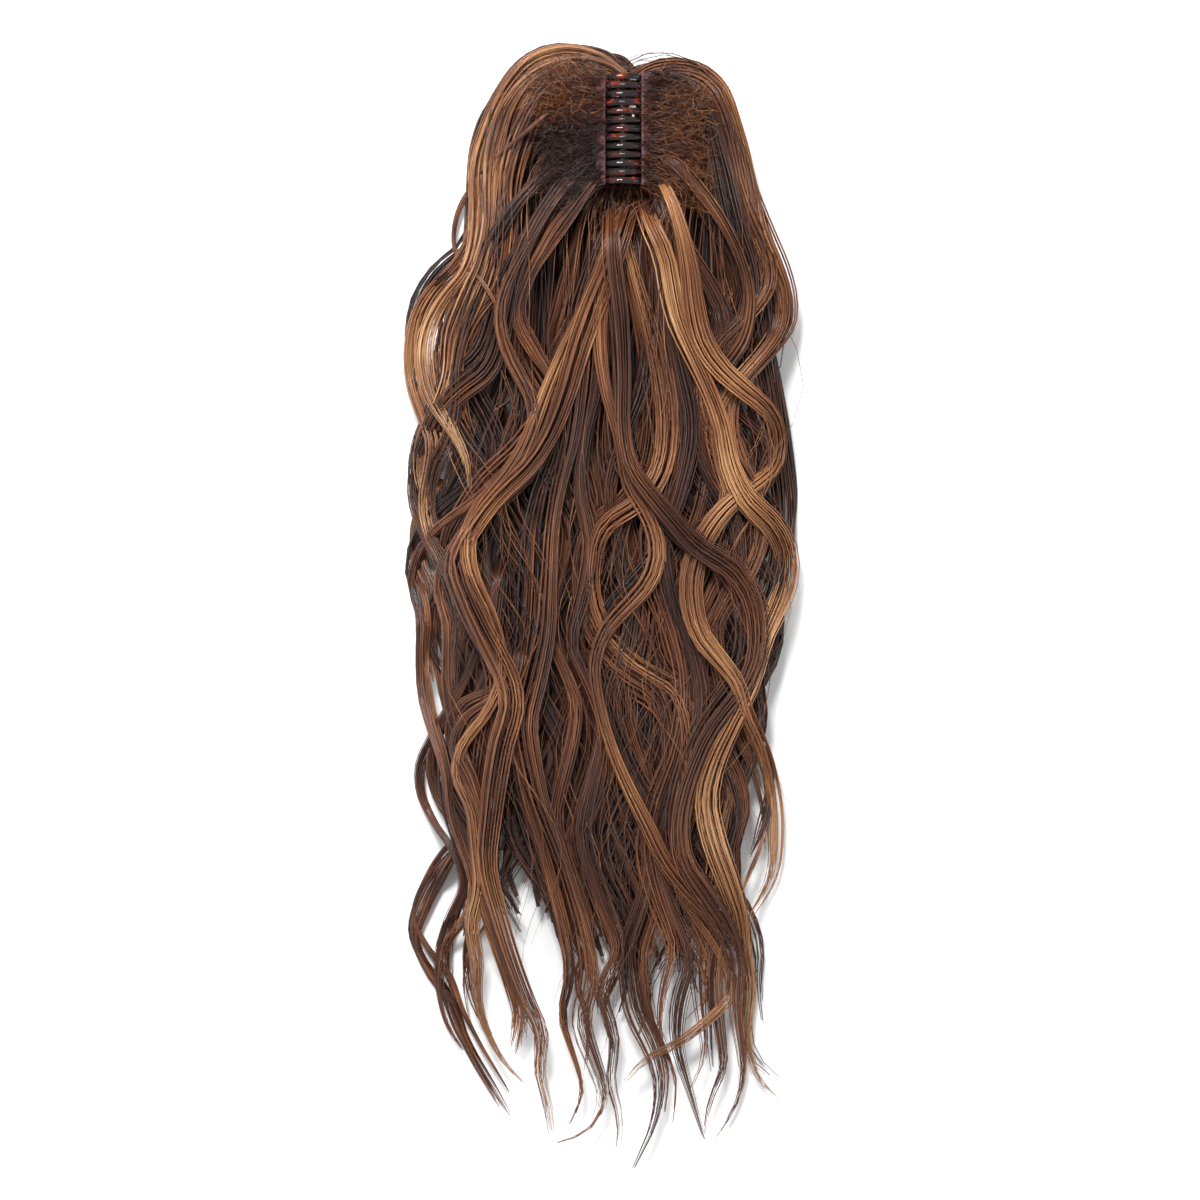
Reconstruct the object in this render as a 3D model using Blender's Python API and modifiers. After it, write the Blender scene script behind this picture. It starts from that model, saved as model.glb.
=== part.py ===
"""A claw clip ponytail: a length of wavy synthetic hair sewn to the jaws of a spring claw.

It lies on its outer side, as when it is put down, so the claw's teeth face up. The origin is under the middle of
the hair, on the surface that it lies on. The crown, where the claw sits, is towards +Y and the tips are towards -Y.
Lengths are in metres.
"""

import math
from collections import namedtuple

import bmesh
import bpy
from mathutils import Matrix, Vector

COLLECTION_NAME = "claw_clip_ponytail"
MERGE_DISTANCE = 0.00005

# The hair as a whole
HAIR_LENGTH = 0.610
HAIR_WIDTH = 0.216
CROWN_HEIGHT = 0.042
FALL_HEIGHT = 0.027
TIP_HEIGHT = 0.011

# The claw, seen along its hinge: two arms that bow out from the hinge and cross at the teeth
CLAW_OFFSET_X = 0.0125
CLAW_TOP_DROP = 0.021
CLAW_LENGTH = 0.0595
ARM_HALF_WIDTH = 0.0150
ARM_HALF_HEIGHT = 0.0130
ARM_CENTRE_RISE = 0.0110
JAW_WALL = 0.0022
TOOTH_WIDTH = 0.0040
TOOTH_TIP_WIDTH = 0.0026
TOOTH_COUNT = 7
TOOTH_ROOT_TURN = math.radians(62)
TOOTH_TIP_TURN = math.radians(-34)
ARM_FOOT_TURN = math.radians(150)
LEVER_REACH = 0.0165
LEVER_WIDTH = 0.030
LEVER_SLOPE = math.radians(62)

# The hinge: a pin through two ears of each jaw, with the spring wound round its middle
PIN_RADIUS = 0.0013
SPRING_RADIUS = 0.0032
EAR_RADIUS = 0.0036
EAR_WIDTH = 0.0030
EAR_SPACING = 0.040
RUNNING_GAP = 0.0004

# The sewn bands and the teased roots that cover the outer side of each jaw
BAND_WALL = 0.0018
BAND_TOP_TURN = math.radians(36)
BAND_FOOT_TURN = math.radians(118)
ROOTS_RADIUS = 0.0270
ROOTS_TOP_TURN = math.radians(44)
ROOTS_SHOULDER_ANGLE = math.radians(42)
ROOTS_FOOT_ANGLE = math.radians(84)
SEAT_GAP = 0.0003
SLIDE_GAP = 0.0005

# The hair's back layer lies under the claw and keeps the levers off the surface below
BACK_LAYER = 0.0045
HINGE_HEIGHT = BACK_LAYER + LEVER_REACH + JAW_WALL / 2 + RUNNING_GAP

# The hair's outline: the places are shares of the length from the crown, and of half the width
EdgeRow = namedtuple("EdgeRow", "down left right")
EDGE_ROWS = (
    EdgeRow(0.000, -0.58, 0.71),
    EdgeRow(0.100, -0.58, 0.71),
    EdgeRow(0.150, -0.61, 0.76),
    EdgeRow(0.200, -0.68, 0.80),
    EdgeRow(0.280, -0.74, 0.84),
    EdgeRow(0.360, -0.78, 0.85),
    EdgeRow(0.440, -0.82, 0.84),
    EdgeRow(0.520, -0.83, 0.84),
    EdgeRow(0.600, -0.81, 0.82),
    EdgeRow(0.680, -0.77, 0.78),
    EdgeRow(0.740, -0.70, 0.73),
    EdgeRow(0.800, -0.58, 0.66),
)
BACKING_END = EDGE_ROWS[-1].down
EDGE_WAVE = 0.030

# The crown's two rounded lobes, which part over the claw: places and reaches are shares of half the width
Lobe = namedtuple("Lobe", "middle left_reach right_reach drop")
LOBES = (
    Lobe(-0.24, 0.40, 0.56, 0.000),
    Lobe(0.40, 0.62, 0.38, 0.020),
)
LOBE_DEPTH = 0.085
CROWN_END = 0.140

# The fall's relief of broad waves, and its rounded rim
WAVE_LENGTH = 0.082
RELIEF_HEIGHT = 0.0045
RELIEF_LOCKS = 7
RELIEF_SWING = 0.11
RIM_WIDTH = 0.026
RIM_HEIGHT = 0.0035
RIM_LIFT = 0.0035
FLAT_SHARE = 0.72

BACKING_ROWS = 44
BACKING_COLUMNS = 28

# Locks that leave the fall: root, lane and tip are shares of half the width, drops are shares of the length
Lock = namedtuple("Lock", "root_x root_drop lane_x tip_x tip_drop width phase")
LOCKS = (
    Lock(-0.34, 0.08, -0.66, -0.56, 0.34, 0.026, 0.10),
    Lock(-0.50, 0.18, -0.88, -0.64, 0.48, 0.025, 0.75),
    Lock(-0.62, 0.38, -0.86, -0.62, 0.68, 0.024, 0.30),
    Lock(0.52, 0.10, 0.81, 0.68, 0.40, 0.026, 0.45),
    Lock(0.62, 0.32, 0.85, 0.66, 0.62, 0.024, 0.95),
    Lock(-0.62, 0.52, -0.82, -0.69, 0.897, 0.023, 0.20),
    Lock(-0.50, 0.60, -0.66, -0.50, 0.935, 0.026, 0.60),
    Lock(-0.36, 0.64, -0.46, -0.36, 0.925, 0.026, 0.05),
    Lock(-0.24, 0.64, -0.28, -0.22, 0.975, 0.028, 0.45),
    Lock(-0.06, 0.66, -0.12, -0.06, 0.960, 0.027, 0.90),
    Lock(0.08, 0.66, 0.02, 0.11, 0.983, 0.028, 0.30),
    Lock(0.20, 0.66, 0.22, 0.20, 1.000, 0.028, 0.70),
    Lock(0.34, 0.66, 0.38, 0.44, 0.965, 0.028, 0.20),
    Lock(0.48, 0.64, 0.56, 0.58, 0.975, 0.028, 0.55),
    Lock(0.58, 0.60, 0.72, 0.73, 0.945, 0.026, 0.95),
    Lock(0.60, 0.52, 0.82, 0.86, 0.910, 0.022, 0.35),
)
LOCK_SWING = 0.007
LOCK_THICKNESS_SHARE = 0.46
LOCK_TIP_SHARE = 0.16
LOCK_ROOT_TURN = 0.14
LOCK_ROOT_HEIGHT = 0.46
LOCK_TIP_HEIGHT = 0.30
LOCK_STEPS = 16
LOCK_SIDES = 8


def claw_middle_y():
    """Middle of the claw's length: its top end lies a set drop under the crown."""
    return HAIR_LENGTH / 2 - CLAW_TOP_DROP - CLAW_LENGTH / 2


def mix(start, end, share):
    return start + (end - start) * share


def smooth(share):
    """Eases from 0 to 1, flat at both ends."""
    share = min(1.0, max(0.0, share))
    return share * share * (3 - 2 * share)


def dome(share):
    """Height of a rounded rim, from 0 at the edge to 1 inside."""
    share = min(1.0, max(0.0, share))
    return math.sqrt(share * (2 - share))


def new_material(name, colour, roughness):
    material = bpy.data.materials.new(name)
    material.use_nodes = True
    shader = material.node_tree.nodes["Principled BSDF"]
    shader.inputs["Base Color"].default_value = (*colour, 1.0)
    shader.inputs["Roughness"].default_value = roughness
    shader.inputs["Metallic"].default_value = 0.0
    return material


def add_mesh_object(name, mesh_data, collection, material=None):
    mesh = bpy.data.meshes.new(name)
    mesh_data.to_mesh(mesh)
    mesh_data.free()
    piece = bpy.data.objects.new(name, mesh)
    if material:
        mesh.materials.append(material)
    collection.objects.link(piece)
    return piece


def add_hidden(piece):
    """Keeps a cutter or a joined shape out of the render."""
    piece.hide_render = True
    piece.display_type = "WIRE"
    return piece


def extrude_outline(name, outline, length, collection, material=None):
    """A straight bar with the outline, in x and z, that runs along y about the middle."""
    bar = bmesh.new()
    near_end = [bar.verts.new((x, -length / 2, z)) for x, z in outline]
    face = bar.faces.new(near_end)
    moved = bmesh.ops.extrude_face_region(bar, geom=[face])
    far_end = [part for part in moved["geom"] if isinstance(part, bmesh.types.BMVert)]
    bmesh.ops.translate(bar, verts=far_end, vec=(0, length, 0))
    bmesh.ops.recalc_face_normals(bar, faces=bar.faces)
    return add_mesh_object(name, bar, collection, material)


def add_cylinder(name, radius, length, segments, collection):
    """A round bar along y, centred on its own origin."""
    bar = bmesh.new()
    along_y = Matrix.Rotation(math.pi / 2, 4, "X")
    bmesh.ops.create_cone(
        bar,
        cap_ends=True,
        segments=segments,
        radius1=radius,
        radius2=radius,
        depth=length,
        matrix=along_y,
    )
    return add_mesh_object(name, bar, collection)


def add_boolean(piece, operation, collection):
    change = piece.modifiers.new(operation.lower() + "_" + collection.name, "BOOLEAN")
    change.operation = operation
    change.operand_type = "COLLECTION"
    change.collection = collection
    change.solver = "EXACT"


def arm_point(side, turn, outset=0.0):
    """Place on an arm, from the hinge; turn runs from the crest outwards, and outset leaves the middle of its wall."""
    x = side * (ARM_HALF_WIDTH + outset) * math.sin(turn)
    z = ARM_CENTRE_RISE + (ARM_HALF_HEIGHT + outset) * math.cos(turn)
    return x, z


def angle_point(side, angle, radius):
    """Place at a radius from the hinge; angle runs from straight up, outwards."""
    return side * radius * math.sin(angle), radius * math.cos(angle)


# The jaws: a bowed wall cut into teeth, with two ears for the pin and a lever for the thumb


def tooth_pitch():
    return (CLAW_LENGTH - TOOTH_WIDTH) / (TOOTH_COUNT - 1)


def tooth_middles(count):
    pitch = tooth_pitch()
    return [pitch * (index - (count - 1) / 2) for index in range(count)]


def comb_columns(count):
    """Edges of the wall's strips along y, each with the middle of its tooth, or None for a gap."""
    half_wall = CLAW_LENGTH / 2
    strips = []
    reached = -half_wall
    for middle in tooth_middles(count):
        start = middle - TOOTH_WIDTH / 2
        end = middle + TOOTH_WIDTH / 2
        if start - reached > MERGE_DISTANCE:
            strips.append((reached, start, None))
        strips.append((start, end, middle))
        reached = end
    if half_wall - reached > MERGE_DISTANCE:
        strips.append((reached, half_wall, None))
    return strips


def add_jaw(name, side, tooth_count, material, collection, tools):
    """side is -1 for the left jaw and 1 for the right one; each jaw's origin is on the hinge."""
    strips = comb_columns(tooth_count)
    edges = [strips[0][0]] + [strip[1] for strip in strips]
    rows = 14
    tooth_rows = 9
    comb = bmesh.new()
    bmesh.ops.create_grid(comb, x_segments=len(strips), y_segments=rows, size=1.0)
    for vertex in comb.verts:
        column = round((vertex.co.x + 1) / 2 * len(strips))
        row = round((vertex.co.y + 1) / 2 * rows)
        vertex.co = (column, row, 0)
    gaps = []
    for face in comb.faces:
        middle = face.calc_center_median()
        in_gap = strips[int(middle.x)][2] is None
        if in_gap and middle.y > rows - tooth_rows:
            gaps.append(face)
    bmesh.ops.delete(comb, geom=gaps, context="FACES")
    for vertex in comb.verts:
        column, row = round(vertex.co.x), round(vertex.co.y)
        y = edges[column]
        if row <= rows - tooth_rows:
            share = row / (rows - tooth_rows)
            turn = mix(ARM_FOOT_TURN, TOOTH_ROOT_TURN, share)
        else:
            share = (row - rows + tooth_rows) / tooth_rows
            turn = mix(TOOTH_ROOT_TURN, TOOTH_TIP_TURN, share)
            middle = min(tooth_middles(tooth_count), key=lambda place: abs(place - y))
            y = middle + (y - middle) * mix(1.0, TOOTH_TIP_WIDTH / TOOTH_WIDTH, share)
        x, z = arm_point(side, turn)
        vertex.co = (x, y, z)
    bmesh.ops.recalc_face_normals(comb, faces=comb.faces)
    jaw = add_mesh_object(name, comb, collection, material)

    wall = jaw.modifiers.new("wall", "SOLIDIFY")
    wall.thickness = JAW_WALL
    wall.offset = 0.0

    joined = bpy.data.collections.new(name + "_joined")
    tools.children.link(joined)
    foot_x, foot_z = arm_point(side, ARM_FOOT_TURN)
    add_lever(name + "_lever", side, joined)
    ear_shift = EAR_WIDTH / 2 + RUNNING_GAP / 2
    for end in (-1, 1):
        # The left jaw's ears are the outer ones, and the right jaw's lie inside them
        ear_y = end * (EAR_SPACING / 2 - side * ear_shift)
        ear = add_cylinder(f"{name}_ear_{end}", EAR_RADIUS, EAR_WIDTH, 16, joined)
        ear.location.y = ear_y
        web_outline = (
            (0, -EAR_RADIUS * 0.8),
            (0, EAR_RADIUS * 0.8),
            (foot_x, foot_z + EAR_RADIUS * 0.8),
            (foot_x, foot_z - EAR_RADIUS * 0.4),
        )
        web = extrude_outline(f"{name}_web_{end}", web_outline, EAR_WIDTH * 0.98, joined)
        web.location.y = ear_y
    for tool in joined.objects:
        add_hidden(tool)
    add_boolean(jaw, "UNION", joined)

    bored = bpy.data.collections.new(name + "_bored")
    tools.children.link(bored)
    bore = add_cylinder(name + "_bore", PIN_RADIUS + RUNNING_GAP, CLAW_LENGTH, 16, bored)
    add_hidden(bore)
    add_boolean(jaw, "DIFFERENCE", bored)
    return jaw


def add_lever(name, side, collection):
    """A plain plate that runs from the arm's foot, out and down to where the thumb presses."""
    foot = Vector(arm_point(side, ARM_FOOT_TURN))
    tip = Vector(angle_point(side, math.pi - LEVER_SLOPE, LEVER_REACH))
    run = tip - foot
    plate = bmesh.new()
    bmesh.ops.create_cube(plate, size=1.0)
    length = run.length + JAW_WALL / 2
    bmesh.ops.scale(plate, verts=plate.verts, vec=(length, LEVER_WIDTH, JAW_WALL))
    lever = add_mesh_object(name, plate, collection)
    middle = foot + run.normalized() * (run.length - length / 2)
    lever.location = (middle.x, 0, middle.y)
    lever.rotation_euler.y = -math.atan2(run.y, run.x)
    return lever


def add_hinge_pin(material, collection):
    """The pin, with the wound spring round its middle as one plain turned piece."""
    half_pin = EAR_SPACING / 2 + EAR_WIDTH + RUNNING_GAP
    half_spring = EAR_SPACING / 2 - EAR_WIDTH - 2 * RUNNING_GAP
    profile = (
        (0, half_pin),
        (PIN_RADIUS, half_pin),
        (PIN_RADIUS, half_spring),
        (SPRING_RADIUS, half_spring),
        (SPRING_RADIUS, -half_spring),
        (PIN_RADIUS, -half_spring),
        (PIN_RADIUS, -half_pin),
        (0, -half_pin),
    )
    line = bmesh.new()
    points = [line.verts.new((radius, 0, along)) for radius, along in profile]
    for start, end in zip(points, points[1:]):
        line.edges.new((start, end))
    pin = add_mesh_object("hinge_pin", line, collection, material)
    turned = pin.modifiers.new("turned", "SCREW")
    turned.steps = turned.render_steps = 16
    turned.use_merge_vertices = True
    turned.merge_threshold = MERGE_DISTANCE
    pin.rotation_euler = (math.pi / 2, 0, 0)
    return pin


# The sewn band on the outer side of each jaw, and the teased roots over it


def add_band(name, side, material, collection):
    """Knitted weft tape, sewn over the outer side of the arm."""
    steps = 8
    strip = bmesh.new()
    bmesh.ops.create_grid(strip, x_segments=1, y_segments=steps, size=1.0)
    outset = JAW_WALL / 2 + SEAT_GAP + BAND_WALL / 2
    for vertex in strip.verts:
        turn = mix(BAND_TOP_TURN, BAND_FOOT_TURN, (vertex.co.y + 1) / 2)
        x, z = arm_point(side, turn, outset)
        vertex.co = (x, vertex.co.x * CLAW_LENGTH / 2, z)
    bmesh.ops.recalc_face_normals(strip, faces=strip.faces)
    band = add_mesh_object(name, strip, collection, material)
    wall = band.modifiers.new("wall", "SOLIDIFY")
    wall.thickness = BAND_WALL
    wall.offset = 0.0
    return band


def add_roots(name, side, material, collection):
    """Short teased hair between the band and the long hair; its outer face is round about the hinge, so it slides."""
    outset = JAW_WALL / 2 + 2 * SEAT_GAP + BAND_WALL
    steps = 8
    inner = []
    for index in range(steps + 1):
        turn = mix(ROOTS_TOP_TURN, BAND_FOOT_TURN, index / steps)
        inner.append(arm_point(side, turn, outset))
    outer = []
    for index in range(steps + 1):
        angle = mix(ROOTS_FOOT_ANGLE, ROOTS_SHOULDER_ANGLE, index / steps)
        outer.append(angle_point(side, angle, ROOTS_RADIUS))
    return extrude_outline(name, inner + outer, CLAW_LENGTH, collection, material)


# The long hair: a backing with broad waves, the locks that leave it, and the trough that holds the claw


def edge_shares(down):
    """The outline's left and right edge at a share of the length, between the table's rows."""
    for upper, lower in zip(EDGE_ROWS, EDGE_ROWS[1:]):
        if down <= lower.down:
            share = smooth((down - upper.down) / (lower.down - upper.down))
            return mix(upper.left, lower.left, share), mix(upper.right, lower.right, share)
    return EDGE_ROWS[-1].left, EDGE_ROWS[-1].right


def crown_drop(x):
    """How far under the crown the top outline lies at x, over the nearer of the two lobes."""
    drops = []
    for lobe in LOBES:
        offset = x - lobe.middle * HAIR_WIDTH / 2
        reach = lobe.left_reach if offset < 0 else lobe.right_reach
        share = min(1.0, abs(offset) / (reach * HAIR_WIDTH / 2))
        drops.append(lobe.drop * HAIR_LENGTH + LOBE_DEPTH * (1 - math.sqrt(1 - share * share)))
    return min(drops)


def fall_height(down):
    """Height of the middle of the hair at a share of the length."""
    if down < EDGE_ROWS[3].down:
        return mix(CROWN_HEIGHT, FALL_HEIGHT, smooth(down / EDGE_ROWS[3].down))
    share = (down - EDGE_ROWS[3].down) / (1 - EDGE_ROWS[3].down)
    return mix(FALL_HEIGHT, TIP_HEIGHT, share)


def wave(distance, phase):
    return math.sin(2 * math.pi * (distance / WAVE_LENGTH + phase))


def backing_point(across, share):
    """Plan place of the backing: across runs from -1 to 1, share from the crown's outline to the backing's end."""
    down = share * BACKING_END
    left, right = edge_shares(down)
    x = mix(left, right, (across + 1) / 2) * HAIR_WIDTH / 2
    distance = down * HAIR_LENGTH
    x += EDGE_WAVE * across * smooth(down / CROWN_END - 1) * wave(distance, across / 4) * HAIR_WIDTH / 2
    if down < CROWN_END:
        crown_share = down / CROWN_END
        distance = mix(crown_drop(x), CROWN_END * HAIR_LENGTH, crown_share)
    return x, distance


def backing_top(across, share):
    x, distance = backing_point(across, share)
    down = distance / HAIR_LENGTH
    left, right = edge_shares(down)
    half_width = (right - left) / 2 * HAIR_WIDTH / 2
    side_rim = dome((1 - abs(across)) * half_width / RIM_WIDTH)
    crown_rim = dome((distance - crown_drop(x)) / RIM_WIDTH) if down < CROWN_END else 1.0
    end_rim = dome((1 - share) * BACKING_END * HAIR_LENGTH / RIM_WIDTH)
    height = RIM_HEIGHT + (fall_height(down) - RIM_HEIGHT) * side_rim * crown_rim * end_rim
    swing = RELIEF_SWING * wave(distance, across / 3)
    relief = abs(math.sin(math.pi * RELIEF_LOCKS * (across + swing) / 2))
    return height + RELIEF_HEIGHT * (relief - 1) * smooth(down / CROWN_END) * side_rim * end_rim


def add_backing(material, collection):
    """The mass of the hair, laid flat: a grid lifted to its height, and closed underneath."""
    body = bmesh.new()
    bmesh.ops.create_grid(body, x_segments=BACKING_COLUMNS, y_segments=BACKING_ROWS, size=1.0)
    across_layer = body.verts.layers.float.new("across")
    share_layer = body.verts.layers.float.new("share")
    for vertex in body.verts:
        across, share = vertex.co.x, (1 - vertex.co.y) / 2
        x, distance = backing_point(across, share)
        vertex.co = (x, HAIR_LENGTH / 2 - distance, backing_top(across, share))
        vertex[across_layer] = across
        vertex[share_layer] = share
    lowered = bmesh.ops.extrude_face_region(body, geom=body.faces[:], use_keep_orig=True)
    for vertex in lowered["geom"]:
        if isinstance(vertex, bmesh.types.BMVert):
            rim = max(0.0, (abs(vertex[across_layer]) - FLAT_SHARE) / (1 - FLAT_SHARE))
            vertex.co.z = RIM_LIFT * rim * rim * smooth(vertex[share_layer] / CROWN_END)
    bmesh.ops.recalc_face_normals(body, faces=body.faces)
    return add_mesh_object("hair_fall", body, collection, material)


def lock_path(lock):
    """Points and radii of a wavy lock that leaves the fall, thins and comes to rest on the surface below."""
    points, radii = [], []
    for step in range(LOCK_STEPS + 1):
        share = step / LOCK_STEPS
        distance = mix(lock.root_drop, lock.tip_drop, share) * HAIR_LENGTH
        if share < 0.5:
            lane = mix(lock.root_x, lock.lane_x, smooth(share * 2))
        else:
            lane = mix(lock.lane_x, lock.tip_x, smooth(share * 2 - 1))
        swing = LOCK_SWING * math.sin(math.pi * share) * wave(distance, lock.phase)
        fullness = math.sin(math.pi * mix(LOCK_ROOT_TURN, 1.0, share)) ** 0.6 if share < 1 else 0.0
        radius = lock.width / 2 * max(LOCK_TIP_SHARE, fullness)
        half_height = radius * LOCK_THICKNESS_SHARE
        rest = fall_height(distance / HAIR_LENGTH) * mix(LOCK_ROOT_HEIGHT, LOCK_TIP_HEIGHT, share)
        height = max(half_height + RIM_LIFT / 4, rest * (1 - smooth(share)) + half_height)
        points.append((lane * HAIR_WIDTH / 2 + swing, HAIR_LENGTH / 2 - distance, height))
        radii.append(radius)
    return points, radii


def add_lock(index, lock, section, collection):
    """One lock as a bevelled curve, made a mesh so that it can be joined to the backing."""
    points, radii = lock_path(lock)
    curve = bpy.data.curves.new(f"lock_{index}", "CURVE")
    curve.dimensions = "3D"
    curve.twist_mode = "Z_UP"
    curve.bevel_mode = "OBJECT"
    curve.bevel_object = section
    curve.use_fill_caps = True
    spline = curve.splines.new("POLY")
    spline.points.add(len(points) - 1)
    for place, point, radius in zip(spline.points, points, radii):
        place.co = (*point, 1.0)
        place.radius = radius
    guide = bpy.data.objects.new(f"lock_{index}_guide", curve)
    collection.objects.link(guide)
    graph = bpy.context.evaluated_depsgraph_get()
    mesh = bpy.data.meshes.new_from_object(guide.evaluated_get(graph))
    solid = bmesh.new()
    solid.from_mesh(mesh)
    bmesh.ops.remove_doubles(solid, verts=solid.verts, dist=MERGE_DISTANCE)
    bmesh.ops.recalc_face_normals(solid, faces=solid.faces)
    bpy.data.objects.remove(guide)
    return add_hidden(add_mesh_object(f"lock_{index}", solid, collection))


def add_lock_section(collection):
    """The oval that each lock has across its length, for a radius of 1."""
    curve = bpy.data.curves.new("lock_section", "CURVE")
    spline = curve.splines.new("POLY")
    spline.points.add(LOCK_SIDES - 1)
    for index, place in enumerate(spline.points):
        angle = 2 * math.pi * (index + 0.5) / LOCK_SIDES
        place.co = (math.cos(angle), LOCK_THICKNESS_SHARE * math.sin(angle), 0, 1)
    spline.use_cyclic_u = True
    section = bpy.data.objects.new("lock_section", curve)
    collection.objects.link(section)
    return add_hidden(section)


def add_trough(collection):
    """Cuts the room that the claw, its bands and roots sweep through, open at the crown's parting."""
    radius = ROOTS_RADIUS + SLIDE_GAP
    floor = BACK_LAYER - HINGE_HEIGHT
    edge_angle = math.acos(floor / radius)
    steps = 24
    outline = [
        angle_point(1, mix(-edge_angle, edge_angle, index / steps), radius)
        for index in range(steps + 1)
    ]
    end_gap = 2 * SLIDE_GAP
    lower_end = claw_middle_y() - CLAW_LENGTH / 2 - end_gap
    upper_end = claw_middle_y() + CLAW_LENGTH / 2 + end_gap
    trough = extrude_outline("trough", outline, upper_end - lower_end, collection)
    trough.location = (CLAW_OFFSET_X, (upper_end + lower_end) / 2, HINGE_HEIGHT)
    return add_hidden(trough)


def add_hair(material, collection, tools):
    hair = add_backing(material, collection)
    locks = bpy.data.collections.new("locks")
    tools.children.link(locks)
    section = add_lock_section(tools)
    for index, lock in enumerate(LOCKS):
        add_lock(index, lock, section, locks)
    add_boolean(hair, "UNION", locks)
    cuts = bpy.data.collections.new("cuts")
    tools.children.link(cuts)
    add_trough(cuts)
    add_boolean(hair, "DIFFERENCE", cuts)
    return hair


def build():
    for old in list(bpy.data.objects):
        bpy.data.objects.remove(old)
    parts = bpy.data.collections.new(COLLECTION_NAME)
    tools = bpy.data.collections.new("shapes_joined_and_cut")
    bpy.context.scene.collection.children.link(parts)
    bpy.context.scene.collection.children.link(tools)

    tortoiseshell = new_material("tortoiseshell_plastic", (0.055, 0.018, 0.012), 0.15)
    steel = new_material("spring_steel", (0.45, 0.45, 0.47), 0.35)
    tape = new_material("weft_tape", (0.23, 0.07, 0.06), 0.85)
    teased_hair = new_material("teased_hair", (0.20, 0.09, 0.04), 0.70)
    long_hair = new_material("long_hair", (0.16, 0.065, 0.03), 0.45)

    hinge = bpy.data.objects.new("claw_hinge", None)
    parts.objects.link(hinge)
    hinge.location = (CLAW_OFFSET_X, claw_middle_y(), HINGE_HEIGHT)
    on_hinge = [add_hinge_pin(steel, parts)]
    for word, side, count in (("left", -1, TOOTH_COUNT - 1), ("right", 1, TOOTH_COUNT)):
        on_hinge.append(add_jaw(f"jaw_{word}", side, count, tortoiseshell, parts, tools))
        on_hinge.append(add_band(f"weft_band_{word}", side, tape, parts))
        on_hinge.append(add_roots(f"teased_roots_{word}", side, teased_hair, parts))
    for piece in on_hinge:
        piece.parent = hinge
    for tool_set in tools.children:
        for tool in tool_set.objects:
            if tool_set.name.startswith("jaw_"):
                tool.parent = hinge
    add_hair(long_hair, parts, tools)


build()
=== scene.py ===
"""How the claw clip ponytail looks, lying on its outer side on a white surface, seen from above."""

import math
from collections import namedtuple

import bmesh
import bpy
import numpy as np
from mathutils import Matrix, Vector


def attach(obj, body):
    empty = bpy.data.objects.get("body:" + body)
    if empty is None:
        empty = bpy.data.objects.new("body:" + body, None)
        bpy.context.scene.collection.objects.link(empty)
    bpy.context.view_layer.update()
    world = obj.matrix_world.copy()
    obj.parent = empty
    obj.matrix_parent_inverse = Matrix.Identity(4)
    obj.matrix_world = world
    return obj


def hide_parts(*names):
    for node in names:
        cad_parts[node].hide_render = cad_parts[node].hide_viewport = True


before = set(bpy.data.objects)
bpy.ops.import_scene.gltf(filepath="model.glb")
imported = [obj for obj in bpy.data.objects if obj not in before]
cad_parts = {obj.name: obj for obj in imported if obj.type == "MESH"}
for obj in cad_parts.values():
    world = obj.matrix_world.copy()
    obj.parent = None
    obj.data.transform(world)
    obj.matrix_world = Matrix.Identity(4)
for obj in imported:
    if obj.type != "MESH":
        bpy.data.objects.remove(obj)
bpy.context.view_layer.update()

# The camera looks straight down from about a metre and a half, as in the photograph. Its picture is 649 mm
# wide at the hair's middle height, and its centre is 3.5 mm nearer the crown than the middle of the hair.
PICTURE_WIDTH = 0.649
PICTURE_MIDDLE_Y = 0.0035
HAIR_MIDDLE_Z = 0.020
LENS_MM = 85
SENSOR_MM = 36

camera_data = bpy.data.cameras.new("overhead_camera")
camera_data.lens = LENS_MM
camera_data.sensor_width = SENSOR_MM
camera = bpy.data.objects.new("overhead_camera", camera_data)
camera.location = (0, PICTURE_MIDDLE_Y, HAIR_MIDDLE_Z + PICTURE_WIDTH * LENS_MM / SENSOR_MM)
bpy.context.scene.collection.objects.link(camera)
bpy.context.scene.camera = camera


# What the materials are made with
def linear(hex_colour):
    """An sRGB colour such as 6b3a1e as the linear values that a shader takes."""
    channels = [int(hex_colour[i : i + 2], 16) / 255 for i in (0, 2, 4)]
    return [c / 12.92 if c <= 0.04045 else ((c + 0.055) / 1.055) ** 2.4 for c in channels] + [1.0]


def new_material(name):
    """A material, its node tree and its Principled shader."""
    material = bpy.data.materials.new(name)
    material.use_nodes = True
    return material, material.node_tree, material.node_tree.nodes["Principled BSDF"]


def add_node(tree, kind, inputs=None, **settings):
    """Adds a node with its settings; inputs maps each input to the socket or the value that it takes."""
    node = tree.nodes.new(kind)
    for name, value in settings.items():
        setattr(node, name, value)
    for place, source in (inputs or {}).items():
        if isinstance(source, bpy.types.NodeSocket):
            tree.links.new(source, node.inputs[place])
        else:
            node.inputs[place].default_value = source
    return node


def math_node(tree, operation, first, second=0.0, third=0.0):
    return add_node(tree, "ShaderNodeMath", {0: first, 1: second, 2: third}, operation=operation).outputs[0]


def vector_node(tree, operation, first, second=(0.0, 0.0, 0.0)):
    return add_node(tree, "ShaderNodeVectorMath", {0: first, 1: second}, operation=operation).outputs[0]


def scaled(tree, vector, factor):
    return add_node(tree, "ShaderNodeVectorMath", {0: vector, "Scale": factor}, operation="SCALE").outputs[0]


def noise_node(tree, place, scale, detail, roughness=0.5, distortion=0.0):
    amounts = {"Scale": scale, "Detail": detail, "Roughness": roughness, "Distortion": distortion}
    return add_node(tree, "ShaderNodeTexNoise", {"Vector": place} | amounts)


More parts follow.
